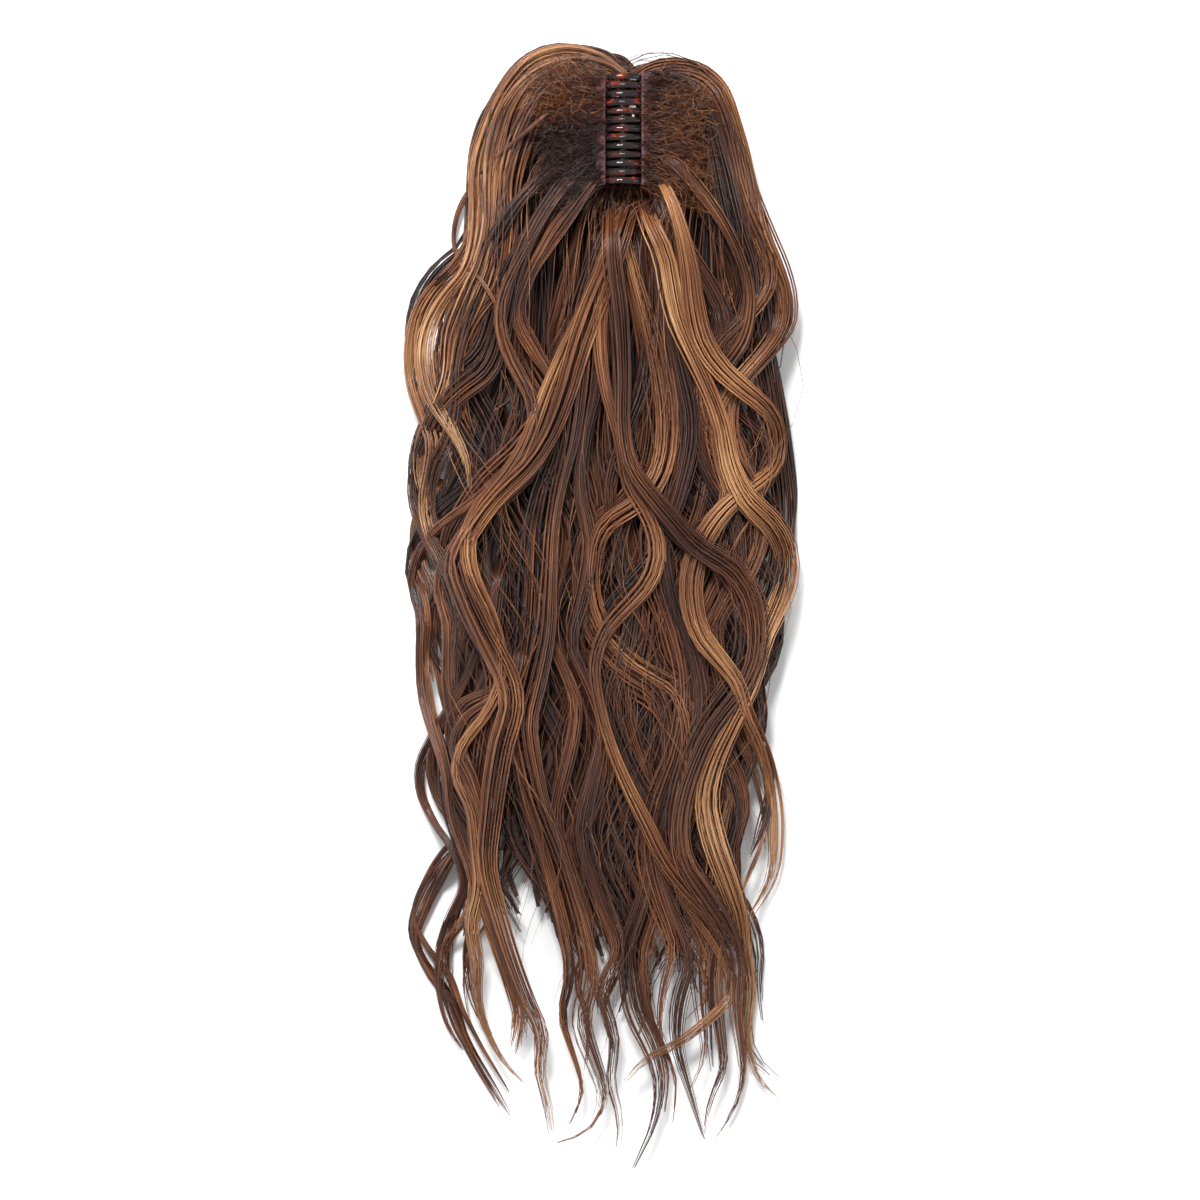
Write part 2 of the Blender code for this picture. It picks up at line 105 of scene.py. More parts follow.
def map_range(tree, value, start, end):
    """The value, with the range from start[0] to start[1] mapped to the one from end[0] to end[1]."""
    ranges = {"From Min": start[0], "From Max": start[1], "To Min": end[0], "To Max": end[1]}
    return add_node(tree, "ShaderNodeMapRange", {"Value": value} | ranges).outputs[0]


def colour_ramp(tree, factor, shades):
    """A colour by the factor, from shades as pairs of a position and an sRGB colour."""
    ramp = add_node(tree, "ShaderNodeValToRGB", {"Fac": factor})
    elements = ramp.color_ramp.elements
    elements[0].position, elements[0].color = shades[0][0], linear(shades[0][1])
    elements[1].position, elements[1].color = shades[-1][0], linear(shades[-1][1])
    for position, colour in shades[1:-1]:
        elements.new(position).color = linear(colour)
    return ramp.outputs["Color"]


def add_bump(tree, shader, height, strength, distance):
    bump = add_node(tree, "ShaderNodeBump", {"Height": height, "Strength": strength, "Distance": distance})
    tree.links.new(bump.outputs[0], shader.inputs["Normal"])


# The white surface that the hairpiece lies on, and the soft light of a product photograph: a strong light
# beyond the crown, a weaker one at each side, and a bright white room
SHEET_PAPER = "fafafa"
SURFACE_SIZE = 6.0
ROOM_BRIGHTNESS = 0.50

surface_mesh = bmesh.new()
bmesh.ops.create_grid(surface_mesh, x_segments=1, y_segments=1, size=SURFACE_SIZE / 2)
surface_data = bpy.data.meshes.new("white_surface")
surface_mesh.to_mesh(surface_data)
surface_mesh.free()
white_surface = bpy.data.objects.new("white_surface", surface_data)
bpy.context.scene.collection.objects.link(white_surface)
paper, _, paper_shader = new_material("white_matt_paper")
paper_shader.inputs["Base Color"].default_value = linear(SHEET_PAPER)
paper_shader.inputs["Roughness"].default_value = 0.9
surface_data.materials.append(paper)


def add_soft_light(name, place, size, power):
    """A square soft light that faces the middle of the hair."""
    light = bpy.data.lights.new(name, "AREA")
    light.shape = "SQUARE"
    light.size = size
    light.energy = power
    lamp = bpy.data.objects.new(name, light)
    lamp.location = place
    towards = Vector((0, 0, HAIR_MIDDLE_Z)) - Vector(place)
    lamp.rotation_euler = towards.to_track_quat("-Z", "Y").to_euler()
    bpy.context.scene.collection.objects.link(lamp)


add_soft_light("crown_light", place=(-0.35, 1.30, 1.75), size=0.50, power=56)
add_soft_light("left_light", place=(-1.8, 0.1, 1.2), size=0.35, power=14)
add_soft_light("right_light", place=(1.8, -0.4, 1.2), size=0.9, power=10)

room = bpy.data.worlds.new("white_room")
room.use_nodes = True
room.node_tree.nodes["Background"].inputs["Color"].default_value = linear("ffffff")
room.node_tree.nodes["Background"].inputs["Strength"].default_value = ROOM_BRIGHTNESS
bpy.context.scene.world = room
bpy.context.scene.view_settings.view_transform = "Standard"


# The long hair is heat-waved synthetic fibre. It leaves the claw on both sides like a fountain, turns down
# over two rounded lobes and hangs in flat wavy locks, which part, cross and thin out to their tips.
HAIR_LENGTH = 0.610
CLAW_X = 0.0125
TROUGH_HALF = 0.0280
TROUGH_TOP = 0.0195
TROUGH_BOTTOM = 0.0835
LEFT_WAVE_LENGTH = 0.135
RIGHT_WAVE_LENGTH = 0.119
LEFT_WAVE_START = 0.52
RIGHT_WAVE_START = 0.08
MIDDLE_SWING = 0.0095
EDGE_SWING = 0.0130
WAVES_FROM = 0.19
LAID_LOW = 0.0012
EDGE_INSET = 0.004
GUIDE_STEPS = 64

# Where a lock's curve over its lobe runs into its fall, and how much lower that is at the edges
JOIN_DOWN = 0.125
JOIN_SPREAD = 0.05

# The outline as the photograph shows it: down is the distance from the crown, left and right are from the
# middle
OUTLINE = (
    # down, left, right
    (0.000, -0.034, 0.050),
    (0.009, -0.046, 0.066),
    (0.031, -0.058, 0.077),
    (0.058, -0.065, 0.082),
    (0.085, -0.068, 0.088),
    (0.112, -0.075, 0.098),
    (0.139, -0.092, 0.104),
    (0.166, -0.100, 0.103),
    (0.220, -0.100, 0.101),
    (0.300, -0.100, 0.103),
    (0.382, -0.096, 0.095),
    (0.437, -0.092, 0.092),
    (0.491, -0.081, 0.085),
    (0.545, -0.067, 0.081),
    (0.610, -0.030, 0.060),
)
OUTLINE_DOWN, OUTLINE_LEFT, OUTLINE_RIGHT = np.array(OUTLINE).T

# The two lobes at the crown: their middles, how far they round off to the outer and the inner side and down,
# and how much lower the right one lies
LEFT_LOBE_X = -0.026
RIGHT_LOBE_X = 0.044
LOBE_OUTER = 0.044
LOBE_INNER = 0.062
LOBE_ROUND = 0.060
RIGHT_LOBE_DOWN = 0.011

# The mass of hair is deepest at the crown, and thins to the tips
DEPTH_DOWN = np.array([0.00, 0.03, 0.10, 0.17, 0.30, 0.45, 0.61])
DEPTH = np.array([0.034, 0.044, 0.044, 0.034, 0.028, 0.021, 0.010])
RIM_ROUND = 0.030

# How far down the hair reaches at each place across, as shares of half the width and of the length
REACH_ACROSS = np.array([-1.0, -0.70, -0.42, -0.20, 0.10, 0.17, 0.45, 0.58, 0.88, 1.0])
REACH_DOWN = np.array([0.84, 0.90, 0.925, 0.965, 0.975, 1.0, 0.955, 0.965, 0.935, 0.80])


def smooth(share):
    share = np.clip(share, 0, 1)
    return share * share * (3 - 2 * share)


def outline_at(down):
    return np.interp(down, OUTLINE_DOWN, OUTLINE_LEFT), np.interp(down, OUTLINE_DOWN, OUTLINE_RIGHT)


def crown_line(x):
    """Distance from the crown's top at which the two lobes of hair begin, at a place across."""
    left_half = np.where(x < LEFT_LOBE_X, LOBE_OUTER, LOBE_INNER)
    right_half = np.where(x < RIGHT_LOBE_X, LOBE_INNER, LOBE_OUTER)
    left = 1 - np.sqrt(np.clip(1 - ((x - LEFT_LOBE_X) / left_half) ** 2, 0, 1))
    right = 1 - np.sqrt(np.clip(1 - ((x - RIGHT_LOBE_X) / right_half) ** 2, 0, 1))
    return np.minimum(left * LOBE_ROUND, RIGHT_LOBE_DOWN + right * LOBE_ROUND)


def depth_at(x, down):
    """Height of the top of the mass of hair, rounded off towards its rim."""
    left, right = outline_at(down)
    rim = np.minimum(np.minimum(x - left, right - x), down - crown_line(x))
    share = np.clip(rim / RIM_ROUND, 0, 1)
    return np.interp(down, DEPTH_DOWN, DEPTH) * np.sqrt(share * (2 - share))


def root_at(spread):
    """Where hair leaves the trough, and which way: spread is 0 under the claw and 1 at its top end."""
    stops = [0.0, 0.28, 0.66, 0.74, 1.0]
    out = np.interp(spread, stops, [0.001, TROUGH_HALF * 0.9, TROUGH_HALF, 0.012, 0.0015])
    down = np.interp(spread, stops, [TROUGH_BOTTOM, TROUGH_BOTTOM, 0.030, TROUGH_TOP, TROUGH_TOP - 0.001])
    turn = np.radians(np.interp(spread, [0, 0.28, 0.5, 0.66, 0.8, 1.0], [4, 30, 62, 88, 112, 140]))
    return out, down, turn


def bezier(start, leave, arrive, end, share):
    share = share[:, None]
    rest = 1 - share
    return rest**3 * start + 3 * rest**2 * share * leave + 3 * rest * share**2 * arrive + share**3 * end


def wave_at(lane):
    """The wave's length and start for a place across, so that neighbouring locks wave together."""
    share = (lane + 1) / 2
    length = LEFT_WAVE_LENGTH + (RIGHT_WAVE_LENGTH - LEFT_WAVE_LENGTH) * share
    start = LEFT_WAVE_START + (RIGHT_WAVE_START - LEFT_WAVE_START) * share
    return length, start


def lock_route(lane, layer, reach, start_shift, swing, wave_length, draws):
    """Points of one lock's middle, claw to tip: lane is -1 to 1 across the hair, layer 0 to 1 up it."""
    side = -1 if lane < 0 else 1
    spread = min(1.0, abs(lane) ** 0.8)
    out, start_down, turn = root_at(spread)
    start = np.array([CLAW_X + side * out, start_down])
    heading = np.array([side * math.sin(turn), math.cos(turn)])
    join_down = JOIN_DOWN + JOIN_SPREAD * spread + draws.uniform(-0.012, 0.012)
    phase = wave_at(lane)[1] + start_shift

    def edge_at(down):
        left, right = outline_at(down)
        growth = smooth((down - WAVES_FROM + 0.10 * abs(lane)) / 0.10)
        return growth, (right if side > 0 else -left) - EDGE_INSET - swing * growth * abs(lane)

    join_x = side * edge_at(join_down)[1] * abs(lane)
    lobe_x = join_x * (1 - 0.16 * spread)
    leave = start + heading * (0.016 + 0.034 * spread)
    arrive = np.array([lobe_x, join_down - 0.050 - 0.050 * spread])
    curve = bezier(start, leave, arrive, np.array([join_x, join_down]), np.linspace(0, 1, 24))

    fall_down = np.linspace(join_down, reach, 90)[1:]
    bends = [0, draws.uniform(-0.08, 0.08), draws.uniform(-0.12, 0.10)]
    drift = np.interp(fall_down, [join_down, 0.36, reach], bends)
    fall_x = side * edge_at(fall_down)[1] * np.clip(abs(lane) + drift, 0, 1.0)
    x = np.concatenate([curve[:, 0], fall_x])
    down = np.concatenate([curve[:, 1], fall_down])

    along = np.concatenate([[0], np.cumsum(np.hypot(np.diff(x), np.diff(down)))])
    rows = np.linspace(0, along[-1], GUIDE_STEPS)
    x = np.interp(rows, along, x)
    down = np.interp(rows, along, down)
    blur = np.array([1, 2, 3, 4, 3, 2, 1]) / 16
    x[3:-3] = np.convolve(x, blur, "valid")
    down[3:-3] = np.convolve(down, blur, "valid")

    growth = edge_at(down)[0] * (1 - 0.25 * smooth((down - 0.45) / 0.16))
    turns = 2 * np.pi * (down / wave_length + phase)
    weave = 0.5 + 0.5 * np.sin(turns * 0.5 + start_shift * 40)
    x = x + swing * growth * np.sin(turns)
    height = depth_at(x, down) * (layer * 0.84 + 0.16 * weave)
    sunk = np.interp(rows, [0, 0.030], [0.66 + 0.2 * draws.uniform(), 1.0])
    height = LAID_LOW + height * sunk + 0.0018 * growth * np.cos(turns)
    return np.stack([x, HAIR_LENGTH / 2 - down, np.maximum(height, LAID_LOW)], axis=1)


def reach_at(lane):
    return np.interp(lane, REACH_ACROSS, REACH_DOWN) * HAIR_LENGTH


def add_guides(name, routes):
    """A mesh of bare edges that holds each route's points, with its widths and tone kept as attributes."""
    points, edges = [], []
    columns = {"half_width": [], "half_height": [], "tone": [], "twist": []}
    for route in routes:
        first = len(points)
        count = len(route["points"])
        points.extend(route["points"].tolist())
        edges.extend((first + i, first + i + 1) for i in range(count - 1))
        for column, values in columns.items():
            values.extend(np.broadcast_to(route[column], count).tolist())
    mesh = bpy.data.meshes.new(name)
    mesh.from_pydata(points, edges, [])
    for column, values in columns.items():
        mesh.attributes.new(column, "FLOAT", "POINT").data.foreach_set("value", values)
    guides = bpy.data.objects.new(name, mesh)
    bpy.context.scene.collection.objects.link(guides)
    return guides


# Dyed fibre, from dark chocolate to copper and caramel. The dark stops also carry the painted shade of the
# deep locks, and the light ones the painted highlight bands along locks as well as dyed highlights
FIBRE_SHADES = (
    (0.16, "170c0a"),
    (0.32, "341c14"),
    (0.45, "4e2b1c"),
    (0.56, "683b23"),
    (0.68, "8a5230"),
    (0.82, "bb804e"),
    (1.00, "e2b888"),
)
TEASED_SHADES = (
    (0.10, "1d0d09"),
    (0.34, "3d1d11"),
    (0.52, "6b3516"),
    (0.70, "a0632a"),
    (1.00, "d6a35c"),
)
COOL_SHADE = "4d342f"


def hair_fibre(name, shades, coolness):
    """Heat-resistant acrylic fibre: smooth and round, so each strand takes a thin bright line of light."""
    material, tree, shader = new_material(name)
    tone, strand, across, along = (
        add_node(tree, "ShaderNodeAttribute", attribute_name=column).outputs["Fac"]
        for column in ("tone", "strand", "across", "along")
    )

    # Single fibres are 0.1 mm, too fine to show, so the streaks are drawn about 0.5 mm wide and 60 mm long
    place = add_node(tree, "ShaderNodeCombineXYZ", {"X": across, "Y": along, "Z": strand}).outputs[0]
    streak_place = vector_node(tree, "MULTIPLY", place, (9.0, 16.0, 50.0))
    streaks = noise_node(tree, streak_place, scale=1.0, detail=4.0, roughness=0.65).outputs["Fac"]
    fine_place = vector_node(tree, "MULTIPLY", place, (26.0, 9.0, 80.0))
    fine = noise_node(tree, fine_place, scale=1.0, detail=2.0).outputs["Fac"]
    contrast = map_range(tree, streaks, (0.32, 0.68), (0.0, 1.44))
    shade = math_node(tree, "MULTIPLY_ADD", contrast, 0.34, tone)
    shade = math_node(tree, "MULTIPLY_ADD", fine, 0.30, shade)
    colour = colour_ramp(tree, shade, shades)

    # Some strands lean to a cool purple brown, as dyed fibre does
    cool = noise_node(tree, streak_place, scale=0.13, detail=1.0).outputs["Fac"]
    cool = map_range(tree, cool, (0.52, 0.66), (0.0, coolness))
    tinted = add_node(tree, "ShaderNodeMix", {0: cool, 6: colour, 7: linear(COOL_SHADE)}, data_type="RGBA")
    tree.links.new(tinted.outputs[2], shader.inputs["Base Color"])

    add_bump(tree, shader, streaks, strength=0.5, distance=0.0006)
    roughness = map_range(tree, fine, (0.3, 0.7), (0.26, 0.44))
    tree.links.new(roughness, shader.inputs["Roughness"])
    shader.inputs["IOR"].default_value = 1.55
    return material


fibre = hair_fibre("acrylic_hair_fibre", FIBRE_SHADES, 0.55)
teased_fibre = hair_fibre("teased_hair_fibre", TEASED_SHADES, 0.2)


def new_group(name, sizes):
    """A node tree for a modifier, with the named number inputs that sizes gives."""
    tree = bpy.data.node_groups.new(name, "GeometryNodeTree")
    tree.interface.new_socket("Geometry", in_out="INPUT", socket_type="NodeSocketGeometry")
    for size, value in sizes.items():
        kind = "NodeSocketInt" if isinstance(value, int) else "NodeSocketFloat"
        socket = tree.interface.new_socket(size, in_out="INPUT", socket_type=kind)
        socket.default_value = value
    tree.interface.new_socket("Material", in_out="INPUT", socket_type="NodeSocketMaterial")
    tree.interface.new_socket("Geometry", in_out="OUTPUT", socket_type="NodeSocketGeometry")
    tree.nodes.new("NodeGroupInput")
    tree.nodes.new("NodeGroupOutput")
    return tree


def group_input(tree, name):
    return tree.nodes["Group Input"].outputs[name]


def named(tree, name):
    return add_node(tree, "GeometryNodeInputNamedAttribute", {"Name": name}).outputs["Attribute"]


def store(tree, geometry, name, value, domain):
    column = {"Geometry": geometry, "Name": name, "Value": value}
    return add_node(tree, "GeometryNodeStoreNamedAttribute", column, domain=domain).outputs["Geometry"]


def chance(tree, low, high, seed_shift):
    """A number between low and high for each strand, from the tree's own seed."""
    seed = math_node(tree, "ADD", group_input(tree, "Seed"), seed_shift)
    return add_node(tree, "FunctionNodeRandomValue", {"Min": low, "Max": high, "Seed": seed}).outputs[1]


def finish_tubes(tree, curves, sides, flatness):
    """Sweeps a flat oval along the curves, keeps its place around and along, and ends the tree."""
    ring = add_node(tree, "GeometryNodeCurvePrimitiveCircle", {"Resolution": sides, "Radius": 1.0})
    place = add_node(tree, "GeometryNodeInputPosition").outputs[0]
    flat = vector_node(tree, "MULTIPLY", place, (1.0, flatness, 1.0))
    oval = add_node(tree, "GeometryNodeSetPosition", {"Geometry": ring.outputs["Curve"], "Position": flat})
    around = add_node(tree, "GeometryNodeSplineParameter").outputs["Factor"]
    oval = store(tree, oval.outputs[0], "across", around, "POINT")
    length = add_node(tree, "GeometryNodeSplineParameter").outputs["Length"]
    curves = store(tree, curves, "along", length, "POINT")
    radius = add_node(tree, "GeometryNodeInputRadius").outputs[0]
    sweep = {"Curve": curves, "Profile Curve": oval, "Scale": radius, "Fill Caps": True}
    tubes = add_node(tree, "GeometryNodeCurveToMesh", sweep).outputs[0]
    tubes = add_node(tree, "GeometryNodeSetShadeSmooth", {"Geometry": tubes}).outputs[0]
    tubes = add_node(tree, "GeometryNodeRealizeInstances", {"Geometry": tubes}).outputs[0]
    look = {"Geometry": tubes, "Material": group_input(tree, "Material")}
    tubes = add_node(tree, "GeometryNodeSetMaterial", look).outputs[0]
    tree.links.new(tubes, tree.nodes["Group Output"].inputs[0])


STRAND_FLATNESS = 0.62


def strand_group():
    """Turns each guide into a lock of strands that twist about it, differ in length and taper to tips."""
    tree = new_group(
        "strands_along_locks",
        {
            "Strands": 10,
            "Steps": 46,
            "Strand Radius": 0.001,
            "Scatter": 1.0,
            "Sides": 3,
            "Shortest": 0.86,
            "Tone Spread": 0.10,
            "Stray": 0.0,
            "Wander": 14.0,
            "Seed": 1,
        },
    )
    curves = add_node(tree, "GeometryNodeMeshToCurve", {"Mesh": group_input(tree, "Geometry")}).outputs[0]
    copies = {"Geometry": curves, "Amount": group_input(tree, "Strands")}
    curves = add_node(tree, "GeometryNodeDuplicateElements", copies, domain="SPLINE").outputs["Geometry"]
    curves = store(tree, curves, "strand", chance(tree, 0.0, 1.0, 1), "CURVE")
    curves = store(tree, curves, "turn", chance(tree, 0.0, 2 * math.pi, 2), "CURVE")
    offset = math_node(tree, "POWER", chance(tree, 0.0, 1.0, 3), 0.55)
    curves = store(tree, curves, "offset", offset, "CURVE")
    curves = store(tree, curves, "girth", chance(tree, 0.55, 1.25, 4), "CURVE")
    shade = math_node(tree, "MULTIPLY", chance(tree, -1.0, 1.0, 5), group_input(tree, "Tone Spread"))
    shade = math_node(tree, "ADD", shade, named(tree, "tone"))
    curves = store(tree, curves, "tone", shade, "POINT")
    shortest = math_node(tree, "SUBTRACT", 1.0, group_input(tree, "Shortest"))
    cut = math_node(tree, "MULTIPLY", math_node(tree, "POWER", chance(tree, 0.0, 1.0, 6), 1.6), shortest)
    ends = {"Curve": curves, "End": math_node(tree, "SUBTRACT", 1.0, cut)}
    curves = add_node(tree, "GeometryNodeTrimCurve", ends, mode="FACTOR").outputs[0]
    steps = {"Curve": curves, "Count": group_input(tree, "Steps")}
    curves = add_node(tree, "GeometryNodeResampleCurve", steps, mode="COUNT").outputs[0]

    parameter = add_node(tree, "GeometryNodeSplineParameter")
    length = parameter.outputs["Length"]
    turned = math_node(tree, "MULTIPLY_ADD", length, named(tree, "twist"), named(tree, "turn"))
    reach = math_node(tree, "MULTIPLY", named(tree, "offset"), group_input(tree, "Scatter"))
    sideways = math_node(tree, "MULTIPLY", math_node(tree, "COSINE", turned), reach)
    sideways = math_node(tree, "MULTIPLY", sideways, named(tree, "half_width"))
    upwards = math_node(tree, "MULTIPLY", math_node(tree, "SINE", turned), reach)
    upwards = math_node(tree, "MULTIPLY", upwards, named(tree, "half_height"))
    tangent = add_node(tree, "GeometryNodeInputTangent").outputs[0]
    across = vector_node(tree, "NORMALIZE", vector_node(tree, "CROSS_PRODUCT", tangent, (0.0, 0.0, 1.0)))
    lift = add_node(tree, "ShaderNodeCombineXYZ", {"Z": upwards}).outputs[0]
    shift = vector_node(tree, "ADD", scaled(tree, across, sideways), lift)

    # Stray strands wander off the lock, more so towards their tips
    waver = math_node(tree, "MULTIPLY", length, group_input(tree, "Wander"))
    own_row = math_node(tree, "MULTIPLY", named(tree, "strand"), 91.0)
    wander_place = add_node(tree, "ShaderNodeCombineXYZ", {"X": waver, "Y": own_row}).outputs[0]
    wander = noise_node(tree, wander_place, scale=1.0, detail=1.0).outputs["Color"]
    wander = vector_node(tree, "SUBTRACT", wander, (0.5, 0.5, 0.5))
    stray = math_node(tree, "MULTIPLY", group_input(tree, "Stray"), parameter.outputs["Factor"])
    shift = vector_node(tree, "ADD", shift, scaled(tree, wander, stray))
    curves = add_node(tree, "GeometryNodeSetPosition", {"Geometry": curves, "Offset": shift}).outputs[0]

    # Nothing sinks into the surface below
    position = add_node(tree, "GeometryNodeInputPosition").outputs[0]
    parts = add_node(tree, "ShaderNodeSeparateXYZ", {0: position})
    laid = math_node(tree, "MAXIMUM", parts.outputs["Z"], group_input(tree, "Strand Radius"))
    laid = {"X": parts.outputs["X"], "Y": parts.outputs["Y"], "Z": laid}
    laid = add_node(tree, "ShaderNodeCombineXYZ", laid).outputs[0]
    curves = add_node(tree, "GeometryNodeSetPosition", {"Geometry": curves, "Position": laid}).outputs[0]

    factor = add_node(tree, "GeometryNodeSplineParameter").outputs["Factor"]
    tip = math_node(tree, "SUBTRACT", 1.0, math_node(tree, "POWER", factor, 5.0))
    tip = math_node(tree, "MULTIPLY_ADD", tip, 0.75, 0.25)
    girth = math_node(tree, "MULTIPLY", named(tree, "girth"), group_input(tree, "Strand Radius"))
    radii = {"Curve": curves, "Radius": math_node(tree, "MULTIPLY", tip, girth)}
    curves = add_node(tree, "GeometryNodeSetCurveRadius", radii).outputs[0]
    curves = add_node(tree, "GeometryNodeSetCurveNormal", {"Curve": curves}, mode="Z_UP").outputs[0]
    finish_tubes(tree, curves, group_input(tree, "Sides"), STRAND_FLATNESS)
    return tree


def apply_group(name, guides, tree, material, **sizes):
    """A plain mesh object of what the node tree makes of the guides, which are then removed."""
    modifier = guides.modifiers.new(tree.name, "NODES")
    modifier.node_group = tree
    sizes["Material"] = material
    for socket in tree.interface.items_tree:
        size = socket.name.replace(" ", "_")
        if socket.in_out == "INPUT" and size in sizes:
            modifier[socket.identifier] = sizes[size]
    graph = bpy.context.evaluated_depsgraph_get()
    mesh = bpy.data.meshes.new_from_object(guides.evaluated_get(graph))
    guides.modifiers.clear()
    bpy.data.objects.remove(guides)
    mesh.name = name
    piece = bpy.data.objects.new(name, mesh)
    bpy.context.scene.collection.objects.link(piece)
    return piece


strands = strand_group()


def lock_form(draws, route, width, tone, twist, painted_highlight_strength):
    """What the node tree needs of a lock, which is fuller in its middle and drawn to a point, with bands of
    painted highlight and shade along it.
    """
    share = np.linspace(0, 1, len(route))
    fullness = np.interp(share, [0, 0.12, 0.35, 0.85, 1.0], [0.60, 0.9, 1.0, 0.85, 0.18])
    pinch = 1 + 0.25 * np.sin(share * draws.uniform(12, 22) + draws.uniform(0, 6))
    # The tone rises and falls along the lock in bands of painted highlight and painted shade
    painted_highlight_bands = np.sin(share * draws.uniform(22, 34) + draws.uniform(0, 6))
    return {
        "points": route,
        "half_width": width / 2 * fullness * pinch,
        "half_height": width * 0.20 * fullness,
        "tone": tone + painted_highlight_strength * painted_highlight_bands + 0.12 * share**3,
        "twist": draws.uniform(-twist, twist),
    }


def fill_lock(draws, lane, layer, reach, width, tone, stray=0.12, swing=1.0, twist=8.0):
    """A lock of a place across, which takes the wave of that place."""
    route = lock_route(
        lane,
        layer,
        reach,
        draws.uniform(-stray, stray),
        (MIDDLE_SWING + (EDGE_SWING - MIDDLE_SWING) * abs(lane)) * swing * draws.uniform(0.8, 1.2),
        wave_at(lane)[0] * draws.uniform(0.94, 1.06),
        draws,
    )
    return lock_form(draws, route, width, tone, twist, 0.05)


# Under-locks: the broad dark locks inside the mass, which the finer hair lies on. Their dark tone is partly
# painted shade deep in the mass
UNDER_LOCKS = 54
UNDER_LAYERS = (0.10, 0.36)
UNDER_SPREAD = 0.86
UNDER_WIDTH = 0.020
UNDER_INSET = 0.009
draws = np.random.default_rng(11)
routes = []
for index in range(UNDER_LOCKS):
    lane = UNDER_SPREAD * (-1 + 2 * (index + 0.5) / UNDER_LOCKS)
    layer = UNDER_LAYERS[index % 2] + draws.uniform(-0.05, 0.05)
    reach = reach_at(lane) - draws.uniform(0.08, 0.17)
    # A low tone, partly painted shade for the hair deep in the mass
    under_lock = fill_lock(draws, lane, layer, reach, UNDER_WIDTH, draws.uniform(-0.26, -0.14))
    highest = HAIR_LENGTH / 2 - crown_line(under_lock["points"][:, 0]) - UNDER_INSET
    under_lock["points"][:, 1] = np.minimum(under_lock["points"][:, 1], highest)
    routes.append(under_lock)

# More of them pass behind the claw and close the valley between the lobes, their dark tone partly painted
# shade in the valley
BEHIND_CLAW = 9
BEHIND_CLAW_INSET = 0.022
BEHIND_CLAW_TO = 0.13
BEHIND_CLAW_HEIGHT = 0.0022
for index in range(BEHIND_CLAW):
    x = CLAW_X + TROUGH_HALF * (-1 + 2 * index / (BEHIND_CLAW - 1))
    down = np.linspace(crown_line(x) + BEHIND_CLAW_INSET, BEHIND_CLAW_TO, GUIDE_STEPS)
    across, height = np.full(GUIDE_STEPS, x), np.full(GUIDE_STEPS, BEHIND_CLAW_HEIGHT)
    route = np.stack([across, HAIR_LENGTH / 2 - down, height], axis=1)
    behind = lock_form(draws, route, width=0.010, tone=-0.24, twist=3.0, painted_highlight_strength=0.0)
    routes.append(behind | {"half_height": 0.0006})
under_hair = apply_group(
    "under_hair",
    add_guides("under_routes", routes),
    strands,
    fibre,
    Strands=3,
    Steps=44,
    Strand_Radius=0.0046,
    Sides=6,
    Scatter=0.8,
    Shortest=0.92,
    Tone_Spread=0.03,
    Seed=3,
)
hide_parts("hair_fall")
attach(under_hair, "hair")

# Body locks: the brown hair that fills the mass, loosely bundled
BODY_LOCKS = 20
draws = np.random.default_rng(23)
for name, low, high in (("left_body_hair", -0.90, 0.0), ("right_body_hair", 0.0, 0.90)):
    routes = []
    for index in range(BODY_LOCKS):
        lane = low + (high - low) * (index + draws.uniform(0.2, 0.8)) / BODY_LOCKS
        layer = draws.uniform(0.30, 0.74)
        reach = reach_at(lane) - 0.05 - 0.12 * draws.uniform(0, 1) ** 1.5
        tone = draws.uniform(-0.26, -0.02)
        width = draws.uniform(0.010, 0.018)
        routes.append(fill_lock(draws, lane, layer, reach, width, tone, stray=0.22, swing=1.1, twist=2.5))
    body_hair = apply_group(
        name,
        add_guides(name + "_routes", routes),
        strands,
        fibre,
        Strands=14,
        Steps=42,
        Strand_Radius=0.00105,
        Shortest=0.88,
        Tone_Spread=0.08,
        Seed=5,
    )
    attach(body_hair, "hair")

